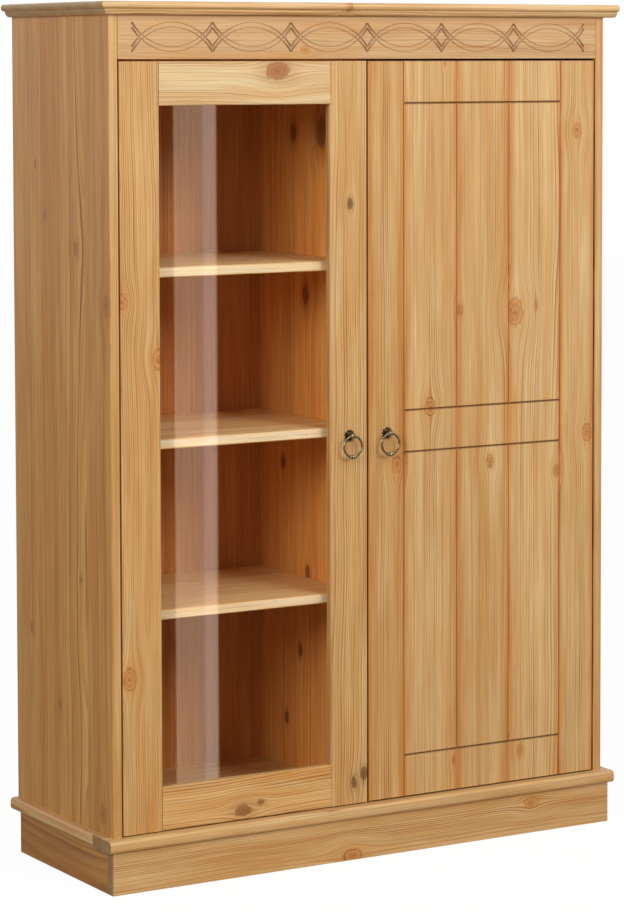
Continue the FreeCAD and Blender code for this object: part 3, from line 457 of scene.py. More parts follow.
def pine(name, grain, seed, stave_width=0.3, stave_edge=-0.15, knots=(), contrast=0.8,
         light=pine_light, warm=pine_warm, line=pine_line, heart=knot_heart, rim=knot_rim,
         cuts=None, wax_lines=(), pith_shift=0.0):
    """Waxed pine. The grain letters say which axes run along, across and into the board,
    and a knot is its place along and across the grain and its radius, in millimetres.
    Cuts are given by the front face they are made in, the depth at which stained wax and painted shade make
    them fully dark, and the share of that which upright cuts take. Wax has pooled and yellowed beside the
    upright lines whose x places are given. The pith shift moves the heart of the log, which lies near the
    cupboard's middle, towards the board."""
    material = new_material(name)
    tree = material.node_tree
    coordinates = add(tree, "ShaderNodeTexCoord").outputs
    parts = add(tree, "ShaderNodeSeparateXYZ", {0: coordinates["Object"]}).outputs
    point = add(tree, "ShaderNodeCombineXYZ", {
        number: parts[AXES[letter]] for number, letter in enumerate(grain)
    })
    point = add(tree, VECTOR_MATH, {0: point, 1: (0, 0, pith_shift)}, operation="SUBTRACT")
    nearness = far_from_knots
    for along, across, radius in knots:
        knot = add(tree, "ShaderNodeGroup", {
            "Point": point, "Centre": (along / 1000, across / 1000, 0), "Radius": radius / 1000,
            "Nearness": nearness,
        }, node_tree=knot_group).outputs
        point, nearness = knot["Point"], knot["Nearness"]
    faces = add(tree, "ShaderNodeSeparateXYZ", {0: coordinates["Normal"]}).outputs
    end_grain = add(tree, MATH, {0: faces[AXES[grain[0]]]}, operation="ABSOLUTE")
    drawn = add(tree, "ShaderNodeGroup", {
        "Point": point, "Nearness": nearness, "Seed": seed, "Stave width": stave_width,
        "Stave edge": stave_edge, "End grain": end_grain, "Light wood": linear(light),
        "Warm wood": linear(warm), "Ring line": linear(line), "Knot heart": linear(heart),
        "Knot rim": linear(rim), "Contrast": contrast,
    }, node_tree=figure).outputs
    grain_bump = add(tree, "ShaderNodeBump", {
        "Height": drawn["Height"], "Strength": grain_relief, "Distance": grain_height,
    })
    colour = drawn["Colour"]
    if wax_lines:
        away = 1.0
        for line_x in wax_lines:
            gap = add(tree, MATH, {0: parts["X"], 1: line_x}, operation="SUBTRACT")
            gap = add(tree, MATH, {0: gap}, operation="ABSOLUTE")
            away = add(tree, MATH, {0: gap, 1: away}, operation="MINIMUM")
        streak_at = add(tree, VECTOR_MATH, {
            0: coordinates["Object"], 1: streak_repeats,
        }, operation="MULTIPLY")
        streaks = add(tree, NOISE, {"Vector": streak_at, "Scale": 1.0, "Detail": 3.0})
        reach = add(tree, MATH, {0: streaks, 1: wax_reach}, operation="MULTIPLY")
        pooled = add(tree, MAP_RANGE, {
            "Value": away, "From Min": reach, "From Max": 0.0, "To Max": wax_share,
        }, interpolation_type="SMOOTHSTEP")
        colour = add(tree, MIX, {
            0: pooled, 6: colour, 7: linear(wax_tint),
        }, data_type="RGBA", blend_type="MULTIPLY").outputs[2]
    # Painted shade with some stained wax: a cut is painted darker the deeper it goes, and lying cuts, whose
    # walls light from above leaves in shade, darker than upright ones.
    if cuts:
        front_face, full_depth, upright_share = cuts
        depth = add(tree, MATH, {0: parts["Y"], 1: front_face}, operation="SUBTRACT")
        darkness = add(tree, MAP_RANGE, {
            "Value": depth, "From Min": cut_start, "From Max": full_depth, "To Max": cut_stain_and_shade_strength,
        })
        before_back = add(tree, MATH, {0: depth, 1: cut_end}, operation="LESS_THAN")
        darkness = add(tree, MATH, {0: darkness, 1: before_back}, operation="MULTIPLY")
        lying = add(tree, MATH, {0: faces["Z"]}, operation="ABSOLUTE")
        lying = add(tree, MAP_RANGE, {
            "Value": lying, "From Min": 0.1, "From Max": 0.5, "To Min": upright_share, "To Max": 1.0,
        })
        darkness = add(tree, MATH, {0: darkness, 1: lying}, operation="MULTIPLY")
        colour = add(tree, MIX, {
            0: darkness, 6: colour, 7: linear(cut_stain_and_shade_brown),
        }, data_type="RGBA").outputs[2]
    surface = add(tree, "ShaderNodeBsdfPrincipled", {
        "Base Color": colour, "Roughness": wax_roughness, "Normal": grain_bump,
    })
    add(tree, "ShaderNodeOutputMaterial", {"Surface": surface})
    return material


def dress(material, *names):
    """Gives CAD pieces that keep their shape their material."""
    for name in names:
        mesh = nodes[name].data
        mesh.materials.clear()
        mesh.materials.append(material)


# Faces that face the front more squarely than this take the paler material of painted light.
facing_front = -0.9


def painted_lit_fronts(material, *names):
    """The front-facing faces of boards are painted paler than their other faces: painted light for the
    stronger light that falls on the front.
    """
    for name in names:
        mesh = nodes[name].data
        mesh.materials.append(material)
        for face in mesh.polygons:
            if face.normal.y < facing_front:
                face.material_index = len(mesh.materials) - 1


# Side panels and partition: upright staves glued edge to edge, planed as one board and screwed
# through from the plinth and dowelled to the top. Their front edges show beside the doors.
side_wood = {
    "light": "dfb873", "warm": "c48f4a", "line": "945c24", "heart": "b07a40", "rim": "6e3a16",
    "contrast": 1.3,
}
dress(pine("pine side panel left", "zyx", 3.0, 0.082, -0.1545, pith_shift=-0.33, knots=(
    (1014, 62, 5), (965, -42, 7), (884, -141, 9), (1090, 95, 4), (462, -52, 4),
    (364, 119, 6), (257, 23, 5), (114, -120, 9),
), **side_wood), "side_panel_left")
dress(pine("pine side panel right", "zyx", 14.0, 0.082, -0.1545, pith_shift=0.33, knots=(
    (930, 40, 8), (610, -70, 6), (300, 90, 9), (1120, -100, 5),
), **side_wood), "side_panel_right")
# The side panels' front edges are painted paler, as painted light.
painted_lit_fronts(pine("pine panel edges painted lit", "zxy", 8.0, 3.0, -1.5), "side_panel_left", "side_panel_right")
# The partition is painted paler and redder than the sides: painted light for the warm light bounced about
# inside the cupboard.
dress(pine("pine partition", "zyx", 21.0, 0.075, -0.1335, knots=(
    (1134, 60, 9), (1136, -28, 15), (874, 23, 9), (597, 95, 6), (427, 19, 7), (296, 42, 6), (179, 87, 6),
), light="ffc880", warm="eea452", line="a2541c", heart="8a4a1c", rim="562a10"), "centre_partition")


def show(piece, body, slot, *names):
    """Lets a piece ride on its body and stand for the named CAD pieces."""
    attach(piece, body)
    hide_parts(*names)


weld_distance = 0.00001
moulding_angle = 35


def smoothed(name, body, slot, material, angle, *names):
    """Merged copies of CAD pieces whose rounded runs are shaded as one curve."""
    form = bmesh.new()
    for node_name in names:
        form.from_mesh(nodes[node_name].data)
    bmesh.ops.remove_doubles(form, verts=form.verts[:], dist=weld_distance)
    for face in form.faces:
        face.smooth = True
        face.material_index = 0
    for edge in form.edges:
        edge.smooth = edge.calc_face_angle(0) < math.radians(angle)
    mesh = bpy.data.meshes.new(name)
    form.to_mesh(mesh)
    form.free()
    mesh.materials.clear()
    mesh.materials.append(material)
    piece = new_object(name, mesh)
    show(piece, body, slot, *names)


# Top board, frieze and bottom: boards with the grain from left to right. The top's edge is a
# round nose over a quarter bead, run with a cutter along the front and both ends.
smoothed("moulded_top", "root", "pine", pine("pine top board", "xyz", 33.0, 0.088, -0.17, knots=(
    (-41, -170, 4), (250, 60, 8), (-230, 20, 9),
), light="f4dcb2", warm="e4c08a", pith_shift=1.2), moulding_angle, "top_board")
dress(pine("pine bottom board", "xyz", 47.0, 0.09, -0.13), "bottom_board")


# The frieze is one pale board with a row of lenses carved across it. Every lens has an upper
# and a lower arc of two gouge lines, and the lines run on past the tips, so that the crossings
# of neighbouring lenses leave a lozenge between them. The gouge goes deeper towards the tips.
frieze_low, frieze_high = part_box("frieze_board")
frieze_front = frieze_low.y
lens_count = 6
lens_pitch = 0.137
carving_height = 0.044
carving_line_gap = 0.0075
frieze_arris = 0.0006
gouge_lift = 0.0008
gouge_shallow = 0.00138
gouge_deep = 0.0021
gouge_sides = 12
# The depth at which a gouge is painted fully dark: painted shade in the hollow, with some stained wax.
gouge_stain_and_shade_depth = 0.00135
tip_sharpness = 2.6
arc_steps = 40
arc_rise = carving_height - carving_line_gap
arc_radius = ((lens_pitch / 2) ** 2 + arc_rise ** 2) / (2 * arc_rise)
arc_half_angle = math.asin(lens_pitch / 2 / arc_radius)

carving, given = new_group("lens carving", "GeometryNodeTree", {
    "Geometry": "Geometry", "Lens count": "Int", "Lens pitch": "Float", "Arc radius": "Float",
    "Half angle": "Float", "Outer crown": "Float", "Line gap": "Float", "Gouge shallow": "Float",
    "Gouge deep": "Float", "First lens": "Vector", "Wood": "Material",
}, {"Geometry": "Geometry"})
first_angle = add(carving, MATH, {0: math.pi / 2, 1: given["Half angle"]}, operation="SUBTRACT")
sweep_angle = add(carving, MATH, {0: given["Half angle"], 1: 2.0}, operation="MULTIPLY")
arc = add(carving, "GeometryNodeCurveArc", {
    "Resolution": arc_steps, "Radius": given["Arc radius"],
    "Start Angle": first_angle, "Sweep Angle": sweep_angle,
}, mode="RADIUS")
along_arc = add(carving, "GeometryNodeSplineParameter").outputs["Factor"]
from_crown = add(carving, MATH, {0: along_arc, 1: 2.0, 2: -1.0}, operation="MULTIPLY_ADD")
from_crown = add(carving, MATH, {0: from_crown}, operation="ABSOLUTE")
from_crown = add(carving, MATH, {0: from_crown, 1: tip_sharpness}, operation="POWER")
gouge = add(carving, MAP_RANGE, {
    "Value": from_crown, "To Min": given["Gouge shallow"], "To Max": given["Gouge deep"],
})
gouge_round = add(carving, "GeometryNodeCurvePrimitiveCircle", {"Resolution": gouge_sides, "Radius": 1.0})
line_tool = add(carving, "GeometryNodeCurveToMesh", {
    "Curve": arc, "Profile Curve": gouge_round, "Scale": gouge, "Fill Caps": True,
})
line_tool = add(carving, "GeometryNodeTransform", {
    "Geometry": line_tool, "Rotation": (math.pi / 2, 0, 0),
})
lens_tools = add(carving, "GeometryNodeJoinGeometry")
for inner in (0, 1):
    crown = add(carving, MATH, {
        0: given["Line gap"], 1: float(-inner), 2: given["Outer crown"],
    }, operation="MULTIPLY_ADD")
    lift = add(carving, MATH, {0: crown, 1: given["Arc radius"]}, operation="SUBTRACT")
    shift = add(carving, "ShaderNodeCombineXYZ", {2: lift})
    upper = add(carving, "GeometryNodeTransform", {"Geometry": line_tool, "Translation": shift})
    lower = add(carving, "GeometryNodeTransform", {"Geometry": upper, "Rotation": (0, math.pi, 0)})
    for tool in (upper, lower):
        carving.links.new(tool.outputs[0], lens_tools.inputs[0])
lens_step = add(carving, "ShaderNodeCombineXYZ", {0: given["Lens pitch"]})
lens_row = add(carving, "GeometryNodeMeshLine", {
    "Count": given["Lens count"], "Start Location": given["First lens"], "Offset": lens_step,
})
all_tools = add(carving, "GeometryNodeInstanceOnPoints", {
    "Points": lens_row, "Instance": lens_tools,
})
all_tools = add(carving, "GeometryNodeRealizeInstances", {"Geometry": all_tools})
carved = add(carving, "GeometryNodeMeshBoolean", {
    "Mesh 1": given["Geometry"], "Mesh 2": all_tools, "Self Intersection": True,
}, operation="DIFFERENCE", solver="EXACT")
carved = add(carving, "GeometryNodeRealizeInstances", {"Geometry": carved})
carved = add(carving, "GeometryNodeSetMaterial", {"Geometry": carved, "Material": given["Wood"]})
add(carving, "NodeGroupOutput", {"Geometry": carved})


def grown(name, start_mesh, group, values):
    """A plain mesh object: the start mesh after the node group, with these named inputs."""
    piece = new_object(name, start_mesh)
    modifier = piece.modifiers.new("shape", "NODES")
    modifier.node_group = group
    for item in group.interface.items_tree:
        if item.in_out == "INPUT" and item.name in values:
            modifier[item.identifier] = values[item.name]
    bpy.context.view_layer.update()
    shaped = piece.evaluated_get(bpy.context.evaluated_depsgraph_get())
    mesh = bpy.data.meshes.new_from_object(shaped)
    piece.modifiers.remove(modifier)
    piece.data = mesh
    mesh.name = name
    return piece


def plain_board(low, high, arris):
    """A board's mesh with its long edges softly rounded."""
    form = bmesh.new()
    bmesh.ops.create_cube(form, size=1.0)
    for corner in form.verts:
        corner.co = [(a + b) / 2 + part * (b - a) for part, a, b in zip(corner.co, low, high)]
    bmesh.ops.bevel(form, geom=form.edges[:], offset=arris, segments=2, profile=0.5, affect="EDGES")
    mesh = bpy.data.meshes.new("board")
    form.to_mesh(mesh)
    form.free()
    return mesh


# The gouges are painted darker the deeper they go, partly stained wax and partly painted shade.
frieze_wood = pine("pine frieze", "xzy", 41.0, 0.068, 1.25, knots=((-112, 1265, 5),), contrast=0.55,
                   light="d3b58c", warm="c69e6c", cuts=(frieze_front, gouge_stain_and_shade_depth, 1.0))
frieze = grown("carved_frieze", plain_board(frieze_low, frieze_high, frieze_arris), carving, {
    "Lens count": lens_count, "Lens pitch": lens_pitch, "Arc radius": arc_radius,
    "Half angle": arc_half_angle, "Outer crown": carving_height / 2, "Line gap": carving_line_gap,
    "Gouge shallow": gouge_shallow, "Gouge deep": gouge_deep,
    "First lens": (
        -lens_pitch * (lens_count - 1) / 2, frieze_front - gouge_lift, (frieze_low.z + frieze_high.z) / 2,
    ),
    "Wood": frieze_wood,
})
show(frieze, "root", "pine", "frieze_board")


# Plinth and ledge: 65 mm boards butted round the base under a moulded strip, all pine with
# the grain lying along each board.
dress(pine("pine plinth front", "xzy", 51.0, 0.067, -0.001, knots=((-36, 7, 11), (304, 49, 9))),
      "plinth_front")
dress(pine("pine plinth back", "xzy", 52.0, 0.067, -0.001), "plinth_back")
# The plinth's sides are painted darker than its front: painted shade for the shadow under the ledge.
dress(pine("pine plinth sides", "yzx", 53.0, 0.067, -0.001, light="c89e5a", warm="a87438", line="784a20"),
      "plinth_left", "plinth_right")
smoothed("moulded_front_ledge", "root", "pine", pine("pine ledge front", "xyz", 54.0, 0.05, -0.19),
         moulding_angle, "ledge_front", "ledge_back")
smoothed("moulded_side_ledges", "root", "pine", pine("pine ledge sides", "yxz", 55.0, 3.0, -1.5),
         moulding_angle, "ledge_left", "ledge_right")
dress(pine("pine glue blocks", "zxy", 56.0, 3.0, -1.5), "plinth_glue_blocks")


# Shelves: glued pine boards that lie loose on steel pins, three in each half. Their wood is painted paler
# than the pine outside and their planed front edges paler still: painted light for the dim inside of the
# cupboard and the light the edges catch. The pith of their wood is set the same way below each one.
shelf_above_pith = 0.14
for row in (1, 2, 3):
    shelf_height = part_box(f"shelf_left_{row}")[1].z
    dress(pine(f"pine shelf {row}", "xyz", 60.0 + row, 0.07, -0.13, light="ffe4b4", warm="f8cb8c",
               pith_shift=shelf_height - shelf_above_pith),
          f"shelf_left_{row}", f"shelf_right_{row}")
painted_lit_fronts(pine("pine shelf edges painted lit", "xzy", 66.0, 3.0, -1.5, contrast=0.4, light="fff4dc", warm="ffe6bc"),
           *[f"shelf_{side}_{row}" for side in ("left", "right") for row in (1, 2, 3)])


# The back is two thin plywood boards with an upright pine face, screwed from behind into the rebates. It is
# painted redder than the boards in front of it: painted light for the warm light bounced about inside the
# cupboard.
dress(pine("pine plywood back", "zxy", 71.0, 0.4, -0.4, light="dfa262", warm="c5803e", line="935424"),
      "back_panel_left", "back_panel_right")


# Left door: a mortised frame of 66 mm pine. Stiles have upright grain, rails lying grain, and
# thin beads hold the glass from behind.
dress(pine("pine hinge stile", "zxy", 81.0, 0.068, -0.433, knots=(
    (891, -430, 8), (802, -369, 10), (323, -421, 11),
)), "left_door_hinge_stile")
dress(pine("pine meeting stile", "zxy", 83.0, 0.068, -0.0685, knots=(
    (1027, -32, 5), (132, -8, 6), (120, -24, 6),
), heart="7a4f26", rim="482a12"), "left_door_meeting_stile")
dress(pine("pine top rail", "xzy", 84.0, 0.068, 1.181, knots=((-160, 1233, 13),),
           light="e4d4ae", warm="d5b27d", heart="a8642c", rim="6b3c18"), "left_door_top_rail")
dress(pine("pine bottom rail", "xzy", 85.0, 0.068, 0.085, knots=((-195, 109, 4), (-226, 100, 9)),
           light="f2d8a4", warm="daaa68", heart="9a6430", rim="5e3816"),
      "left_door_bottom_rail")
dress(pine("pine upright beads", "zxy", 86.0), "left_door_bead_hinge_side", "left_door_bead_meeting_side")
dress(pine("pine lying beads", "xzy", 87.0, 3.0, -1.0), "left_door_bead_bottom", "left_door_bead_top")


# Right door: one glued board. Its V-cuts draw a frame with three planks, and two battens
# screwed across the back keep it flat.
door_low, door_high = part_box("right_door_panel")
groove_band = 0.066
groove_depth = 0.002
# The V-cuts are painted darker the deeper they go, partly stained wax and partly painted shade; upright
# cuts take less of it, since light from above leaves lying cuts darker.
upright_groove_stain_and_shade = 0.45
plank_width = (door_high.x - door_low.x - 2 * groove_band) / 3
groove_lines = [door_low.x + groove_band + plank_width * step for step in range(4)]
dress(pine("pine grooved door", "zxy", 91.0, 0.0995, 0.0675, knots=(
    (703, 116, 10), (846, 278, 14), (856, 311, 5), (854, 172, 5), (644, 420, 9), (1243, 144, 3),
    (1136, 398, 8), (616, 54, 8), (609, 230, 7), (586, 359, 6), (133, 161, 4), (135, 289, 6),
), cuts=(door_low.y, groove_depth, upright_groove_stain_and_shade),
   wax_lines=[door_low.x, *groove_lines, door_high.x]), "right_door_panel")
dress(pine("pine battens", "xzy", 95.0, 0.2, 0.0), "right_door_batten_bottom", "right_door_batten_top")


# The pane is 4 mm float glass, clear, with polished faces. Lamps shine through it, and it
# shows a mirror image of the studio.
glass = new_material("clear float glass")
tree = glass.node_tree
pane = add(tree, "ShaderNodeBsdfPrincipled", {
    "Base Color": linear("fcfefd"), "Roughness": 0.0, "IOR": 1.5, "Transmission Weight": 1.0,
})
open_to_lamps = add(tree, "ShaderNodeBsdfTransparent", {"Color": (1, 1, 1, 1)})
path = add(tree, "ShaderNodeLightPath").outputs
lamp_rays = add(tree, MATH, {
    0: path["Is Shadow Ray"], 1: path["Is Diffuse Ray"],
}, operation="MAXIMUM")
pane_mix = add(tree, "ShaderNodeMixShader", {0: lamp_rays, 1: pane, 2: open_to_lamps})
add(tree, "ShaderNodeOutputMaterial", {"Surface": pane_mix})
dress(glass, "left_door_glass")


# Small fittings: concealed hinges and shelf pins of steel with a bright nickel finish, and
# the pulls' screws, dull with zinc.
wear_repeats = 260.0
wear_least, wear_most = 0.75, 1.3
cup_angle = 50
pin_angle = 65


def metal(name, colour, roughness):
    """A plated metal with faint cloudy wear in its gloss."""
    material = new_material(name)
    tree = material.node_tree
    coordinates = add(tree, "ShaderNodeTexCoord").outputs["Object"]
    cloud = add(tree, NOISE, {"Vector": coordinates, "Scale": wear_repeats, "Detail": 3.0})
    worn = add(tree, MAP_RANGE, {
        "Value": cloud, "To Min": roughness * wear_least, "To Max": roughness * wear_most,
    })
    surface = add(tree, "ShaderNodeBsdfPrincipled", {
        "Base Color": linear(colour), "Metallic": 1.0, "Roughness": worn,
    })
    add(tree, "ShaderNodeOutputMaterial", {"Surface": surface})
    return material


nickel = metal("nickel plated steel", "c9c8c4", 0.25)
zinc = metal("zinc plated steel", "b9bcbf", 0.35)
for side in ("left", "right"):
    door_body = f"{side}_door"
    smoothed(f"{side}_round_cups", door_body, "nickel_steel", nickel, cup_angle, f"{side}_hinge_cups")
    smoothed(f"{side}_round_shelf_pins", "root", "nickel_steel", nickel, pin_angle, f"shelf_pins_{side}")
    smoothed(f"{side}_pull_screw", door_body, "zinc_steel", zinc, pin_angle, f"{side}_handle_screw")
    dress(nickel, f"{side}_hinge_pins", f"{side}_hinge_arms", f"{side}_hinge_plates")


# Countersunk screws, zinc plated: a flat conical head with a cross recess on a plain shank.
# One screw is modelled and set in every hole of the backs and of the hinge plates.
screw_sides = 24
recess_share = 0.62
recess_width = 0.0009
back_screw = {"Head radius": 0.0035, "Head height": 0.0018, "Shank radius": 0.0015, "Length": 0.015}
hinge_screw = {
    "Head radius": 0.00375, "Head height": 0.0024, "Shank radius": 0.00175, "Length": 0.012,
}

fixing, given = new_group("countersunk screw", "GeometryNodeTree", {
    "Geometry": "Geometry", "Head radius": "Float", "Head height": "Float",
    "Shank radius": "Float", "Length": "Float", "Sides": "Int", "Recess share": "Float",
    "Recess width": "Float", "Turn": "Vector", "Metal": "Material",
}, {"Geometry": "Geometry"})
head = add(fixing, "GeometryNodeMeshCone", {
    "Vertices": given["Sides"], "Radius Top": given["Head radius"],
    "Radius Bottom": given["Shank radius"], "Depth": given["Head height"],
}).outputs["Mesh"]
head_down = add(fixing, MATH, {0: given["Head height"], 1: -1.0}, operation="MULTIPLY")
head_place = add(fixing, "ShaderNodeCombineXYZ", {2: head_down})
head = add(fixing, "GeometryNodeTransform", {"Geometry": head, "Translation": head_place})
recess_length = add(fixing, MATH, {
    0: given["Head radius"], 1: given["Recess share"],
}, operation="MULTIPLY")
recess_length = add(fixing, MATH, {0: recess_length, 1: 2.0}, operation="MULTIPLY")
bar_size = add(fixing, "ShaderNodeCombineXYZ", {
    0: recess_length, 1: given["Recess width"], 2: given["Head height"],
})
bar = add(fixing, "GeometryNodeMeshCube", {"Size": bar_size}).outputs["Mesh"]
crossed_bar = add(fixing, "GeometryNodeTransform", {
    "Geometry": bar, "Rotation": (0, 0, math.pi / 2),
})
recessed = add(fixing, "GeometryNodeMeshBoolean", {
    "Mesh 1": head, "Mesh 2": bar,
}, operation="DIFFERENCE", solver="EXACT")
fixing.links.new(crossed_bar.outputs[0], recessed.inputs["Mesh 2"])
shank_depth = add(fixing, MATH, {0: given["Length"], 1: given["Head height"]}, operation="SUBTRACT")
shank = add(fixing, "GeometryNodeMeshCylinder", {
    "Vertices": given["Sides"], "Radius": given["Shank radius"], "Depth": shank_depth,
}).outputs["Mesh"]
shank_down = add(fixing, MATH, {0: shank_depth, 1: -0.5, 2: head_down}, operation="MULTIPLY_ADD")
shank_place = add(fixing, "ShaderNodeCombineXYZ", {2: shank_down})
shank = add(fixing, "GeometryNodeTransform", {"Geometry": shank, "Translation": shank_place})
one_screw = add(fixing, "GeometryNodeJoinGeometry")
for part in (recessed, shank):
    fixing.links.new(part.outputs[0], one_screw.inputs[0])
screws = add(fixing, "GeometryNodeInstanceOnPoints", {
    "Points": given["Geometry"], "Instance": one_screw, "Rotation": given["Turn"],
})
screws = add(fixing, "GeometryNodeRealizeInstances", {"Geometry": screws})
screws = add(fixing, "GeometryNodeSetMaterial", {"Geometry": screws, "Material": given["Metal"]})
add(fixing, "NodeGroupOutput", {"Geometry": screws})


def solid_boxes(node_name):
    """The lowest and highest corner of every separate solid in a CAD piece."""
    form = bmesh.new()
    form.from_mesh(nodes[node_name].data)
    bmesh.ops.remove_doubles(form, verts=form.verts[:], dist=weld_distance)
    waiting = set(form.verts)
    boxes = []
    while waiting:
        reached = [waiting.pop()]
        for vert in reached:
            for edge in vert.link_edges:
                other = edge.other_vert(vert)
                if other in waiting:
                    waiting.remove(other)
                    reached.append(other)
        boxes.append([
            Vector([pick(vert.co[axis] for vert in reached) for axis in range(3)]) for pick in (min, max)
        ])
    form.free()
    return sorted(boxes, key=lambda corners: tuple(corners[0]))


for name, axis, outward, sizes in (
    ("back_panel_screws", 1, 1, back_screw),
    ("left_hinge_plate_screws", 0, 1, hinge_screw),
    ("right_hinge_plate_screws", 0, -1, hinge_screw),
):
    seats = []
    for low, high in solid_boxes(name):
        seat = (low + high) / 2
        seat[axis] = high[axis] if outward > 0 else low[axis]
        seats.append(seat)
    seat_mesh = bpy.data.meshes.new("seats")
    seat_mesh.from_pydata(seats, [], [])
    turn = (-math.pi / 2, 0, math.pi / 5) if axis == 1 else (0, outward * math.pi / 2, 0)
    piece = grown(f"round_{name}", seat_mesh, fixing, {
        **sizes, "Sides": screw_sides, "Recess share": recess_share,
        "Recess width": recess_width, "Turn": turn, "Metal": zinc,
    })
    show(piece, "root", "zinc_steel", name)


# Soft grey plastic bumpers on the partition stop the doors, pale and dull, and turned beech
# dowels hold the top and the base.
bumper = new_material("soft grey plastic")
surface = add(bumper.node_tree, "ShaderNodeBsdfPrincipled", {
    "Base Color": linear("d8d6d0"), "Roughness": 0.5,
})
add(bumper.node_tree, "ShaderNodeOutputMaterial", {"Surface": surface})
dress(bumper, "door_bumpers")
dress(pine("beech dowels", "zxy", 99.0, 3.0, -1.0, light="e6c9a0", warm="dbb98a", line="c39a68"),
      "top_dowels", "base_dowels")


# Ring pulls of cast brass, darkened with acid and rubbed bright on the high spots: a petalled
# rosette with a domed middle, a neck with a bored ball, and a ring that hangs through the
# ball and thickens into three turned beads at its lowest point.
rosette_radius = 0.0105
rosette_petals = 14
rosette_segments = 112
petal_depth = 0.13
petal_start = 0.8
post_reach = 0.012
ball_radius = 0.0045
eye_radius = 0.0025
ring_radius = 0.0163
wire_radius = 0.0017
bead_step = 0.005
bead_spacing = 0.98
bead_swells = ((-2, 0.25), (-1, 0.7), (0, 1.25), (1, 0.7), (2, 0.25))
ring_steps = 240
wire_sides = 24
ball_sides = 40
ball_steps = 14
rosette_outline = [
    (0, 0), (rosette_radius * 0.96, 0), (rosette_radius, 0.0006), (rosette_radius * 0.97, 0.0013),
    (rosette_radius * 0.9, 0.0018), (rosette_radius * 0.82, 0.0014), (rosette_radius * 0.74, 0.0011),
    (rosette_radius * 0.66, 0.0014), (rosette_radius * 0.5, 0.0026), (rosette_radius * 0.32, 0.0033),
    (0.0026, 0.0042), (0.0024, 0.0060), (0.0027, post_reach - 0.003), (0, post_reach - 0.003),
]

brass_dark = "3a2e22"
brass_bright = "e0cca4"
brass_cloud_repeats = 420.0
flat_pointiness, edge_pointiness = 0.49, 0.54
brass_gloss = (0.14, 0.34)
brass = new_material("antique brass")
tree = brass.node_tree
coordinates = add(tree, "ShaderNodeTexCoord").outputs["Object"]
cloud = add(tree, NOISE, {"Vector": coordinates, "Scale": brass_cloud_repeats, "Detail": 3.0})
rubbed = add(tree, "ShaderNodeNewGeometry").outputs["Pointiness"]
bright = add(tree, MAP_RANGE, {
    "Value": rubbed, "From Min": flat_pointiness, "From Max": edge_pointiness,
})
bright = add(tree, MATH, {0: bright, 1: cloud}, operation="MULTIPLY")
colour = add(tree, MIX, {
    0: bright, 6: linear(brass_dark), 7: linear(brass_bright),
}, data_type="RGBA").outputs[2]
gloss = add(tree, MAP_RANGE, {"Value": cloud, "To Min": brass_gloss[0], "To Max": brass_gloss[1]})
surface = add(tree, "ShaderNodeBsdfPrincipled", {"Base Color": colour, "Metallic": 1.0, "Roughness": gloss})
add(tree, "ShaderNodeOutputMaterial", {"Surface": surface})

pull, given = new_group("pull ring", "GeometryNodeTree", {
    "Geometry": "Geometry", "Ring radius": "Float", "Wire radius": "Float",
    "Bead step": "Float", "Place": "Vector", "Metal": "Material",
}, {"Geometry": "Geometry"})
loop = add(pull, "GeometryNodeCurvePrimitiveCircle", {
    "Resolution": ring_steps, "Radius": given["Ring radius"],
})
travel = add(pull, "GeometryNodeSplineParameter").outputs["Length"]
half_round = add(pull, MATH, {0: given["Ring radius"], 1: math.pi}, operation="MULTIPLY")
from_bottom = add(pull, MATH, {0: travel, 1: half_round}, operation="SUBTRACT")
thickness = given["Wire radius"]
for step, swell in bead_swells:
    from_bead = add(pull, MATH, {
        0: given["Bead step"], 1: -step * bead_spacing, 2: from_bottom,
    }, operation="MULTIPLY_ADD")
    from_bead = add(pull, MATH, {0: from_bead, 1: given["Bead step"]}, operation="DIVIDE")
    from_bead = add(pull, MATH, {0: from_bead, 1: 2.0}, operation="MULTIPLY")
    round_off = add(pull, MATH, {0: from_bead, 1: from_bead}, operation="MULTIPLY")
    round_off = add(pull, MATH, {0: 1.0, 1: round_off}, operation="SUBTRACT", use_clamp=True)
    round_off = add(pull, MATH, {0: round_off}, operation="SQRT")
    full = add(pull, MATH, {0: given["Wire radius"], 1: 1.0 + swell}, operation="MULTIPLY")
    bulge = add(pull, MATH, {0: round_off, 1: full}, operation="MULTIPLY")
    thickness = add(pull, MATH, {0: thickness, 1: bulge}, operation="MAXIMUM")
wire_round = add(pull, "GeometryNodeCurvePrimitiveCircle", {"Resolution": wire_sides, "Radius": 1.0})
ring_form = add(pull, "GeometryNodeCurveToMesh", {
    "Curve": loop, "Profile Curve": wire_round, "Scale": thickness,
})
ring_form = add(pull, "GeometryNodeTransform", {
    "Geometry": ring_form, "Rotation": (math.pi / 2, -math.pi / 2, 0), "Translation": given["Place"],
})
ring_form = add(pull, "GeometryNodeSetShadeSmooth", {0: ring_form})
ring_form = add(pull, "GeometryNodeRealizeInstances", {"Geometry": ring_form})
ring_form = add(pull, "GeometryNodeSetMaterial", {
    "Geometry": ring_form, "Material": given["Metal"],
})
add(pull, "NodeGroupOutput", {"Geometry": ring_form})


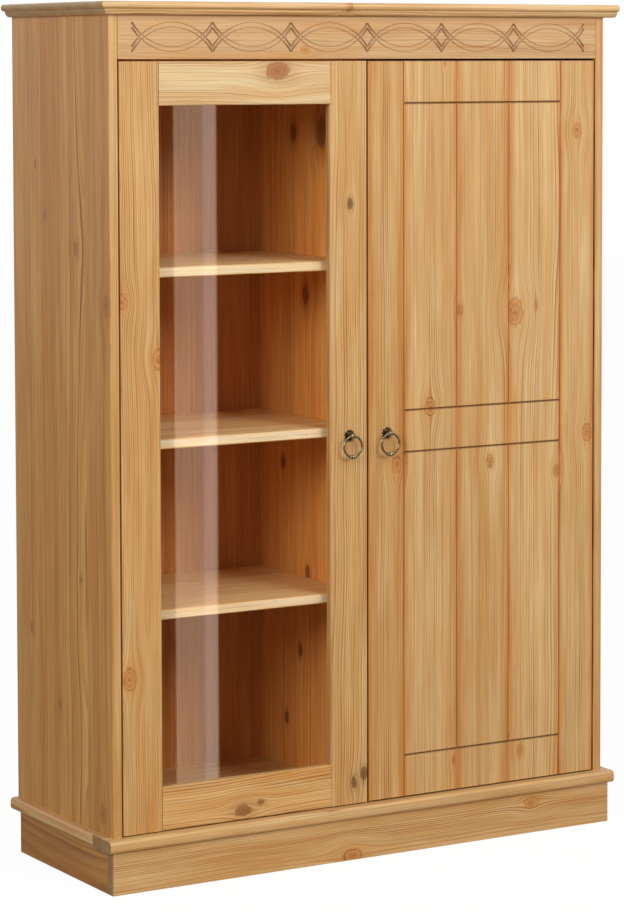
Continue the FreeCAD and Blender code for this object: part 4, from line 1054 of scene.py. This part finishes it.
def lathe(form, profile, place, axis, segments, petals=0):
    """Turns a closed or axis-to-axis profile of (radius, distance) round an axis, with petals
    cut into its rim."""
    axis = Vector(axis)
    first = axis.orthogonal().normalized()
    second = axis.cross(first)
    closed = profile[0][0] > 0
    rows = []
    for turn in range(segments):
        angle = 2 * math.pi * turn / segments
        outward = first * math.cos(angle) + second * math.sin(angle)
        row = []
        for radius, along in profile:
            on_rim = radius > petal_start * rosette_radius
            cut = 1 - petal_depth * abs(math.sin(petals * angle / 2)) if on_rim else 1
            row.append(form.verts.new(place + outward * radius * cut + axis * along))
        rows.append(row)
    links = [(n, n + 1) for n in range(len(profile) - 1)] + ([(len(profile) - 1, 0)] if closed else [])
    for row, following in zip(rows, rows[1:] + rows[:1]):
        for near, far in links:
            form.faces.new((row[near], row[far], following[far], following[near])).smooth = True


def ball_points(radius, bore, steps):
    """Half a ball's outline with a bore along its axis, as a closed profile."""
    turn = math.asin(bore / radius)
    points = []
    for step in range(steps + 1):
        angle = turn + (math.pi - 2 * turn) * step / steps
        points.append((radius * math.sin(angle), -radius * math.cos(angle)))
    return points


for side in ("left", "right"):
    low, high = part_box(f"{side}_handle_rosette")
    centre = Vector(((low.x + high.x) / 2, high.y, (low.z + high.z) / 2))
    form = bmesh.new()
    lathe(form, rosette_outline, centre, (0, -1, 0), rosette_segments, rosette_petals)
    lathe(form, ball_points(ball_radius, eye_radius, ball_steps),
          centre + Vector((0, -post_reach, 0)), (1, 0, 0), ball_sides)
    bmesh.ops.remove_doubles(form, verts=form.verts[:], dist=weld_distance)
    bmesh.ops.recalc_face_normals(form, faces=form.faces[:])
    mesh = bpy.data.meshes.new(f"{side}_pull_rosette")
    form.to_mesh(mesh)
    form.free()
    mesh.materials.append(brass)
    piece = new_object(f"{side}_pull_rosette", mesh)
    show(piece, f"{side}_door", "antique_brass", f"{side}_handle_rosette")
    ring = grown(f"{side}_pull_ring", bpy.data.meshes.new("empty"), pull, {
        "Ring radius": ring_radius, "Wire radius": wire_radius, "Bead step": bead_step,
        "Place": centre + Vector((0, -post_reach, -ring_radius)), "Metal": brass,
    })
    show(ring, f"{side}_ring", "antique_brass", f"{side}_handle_ring")
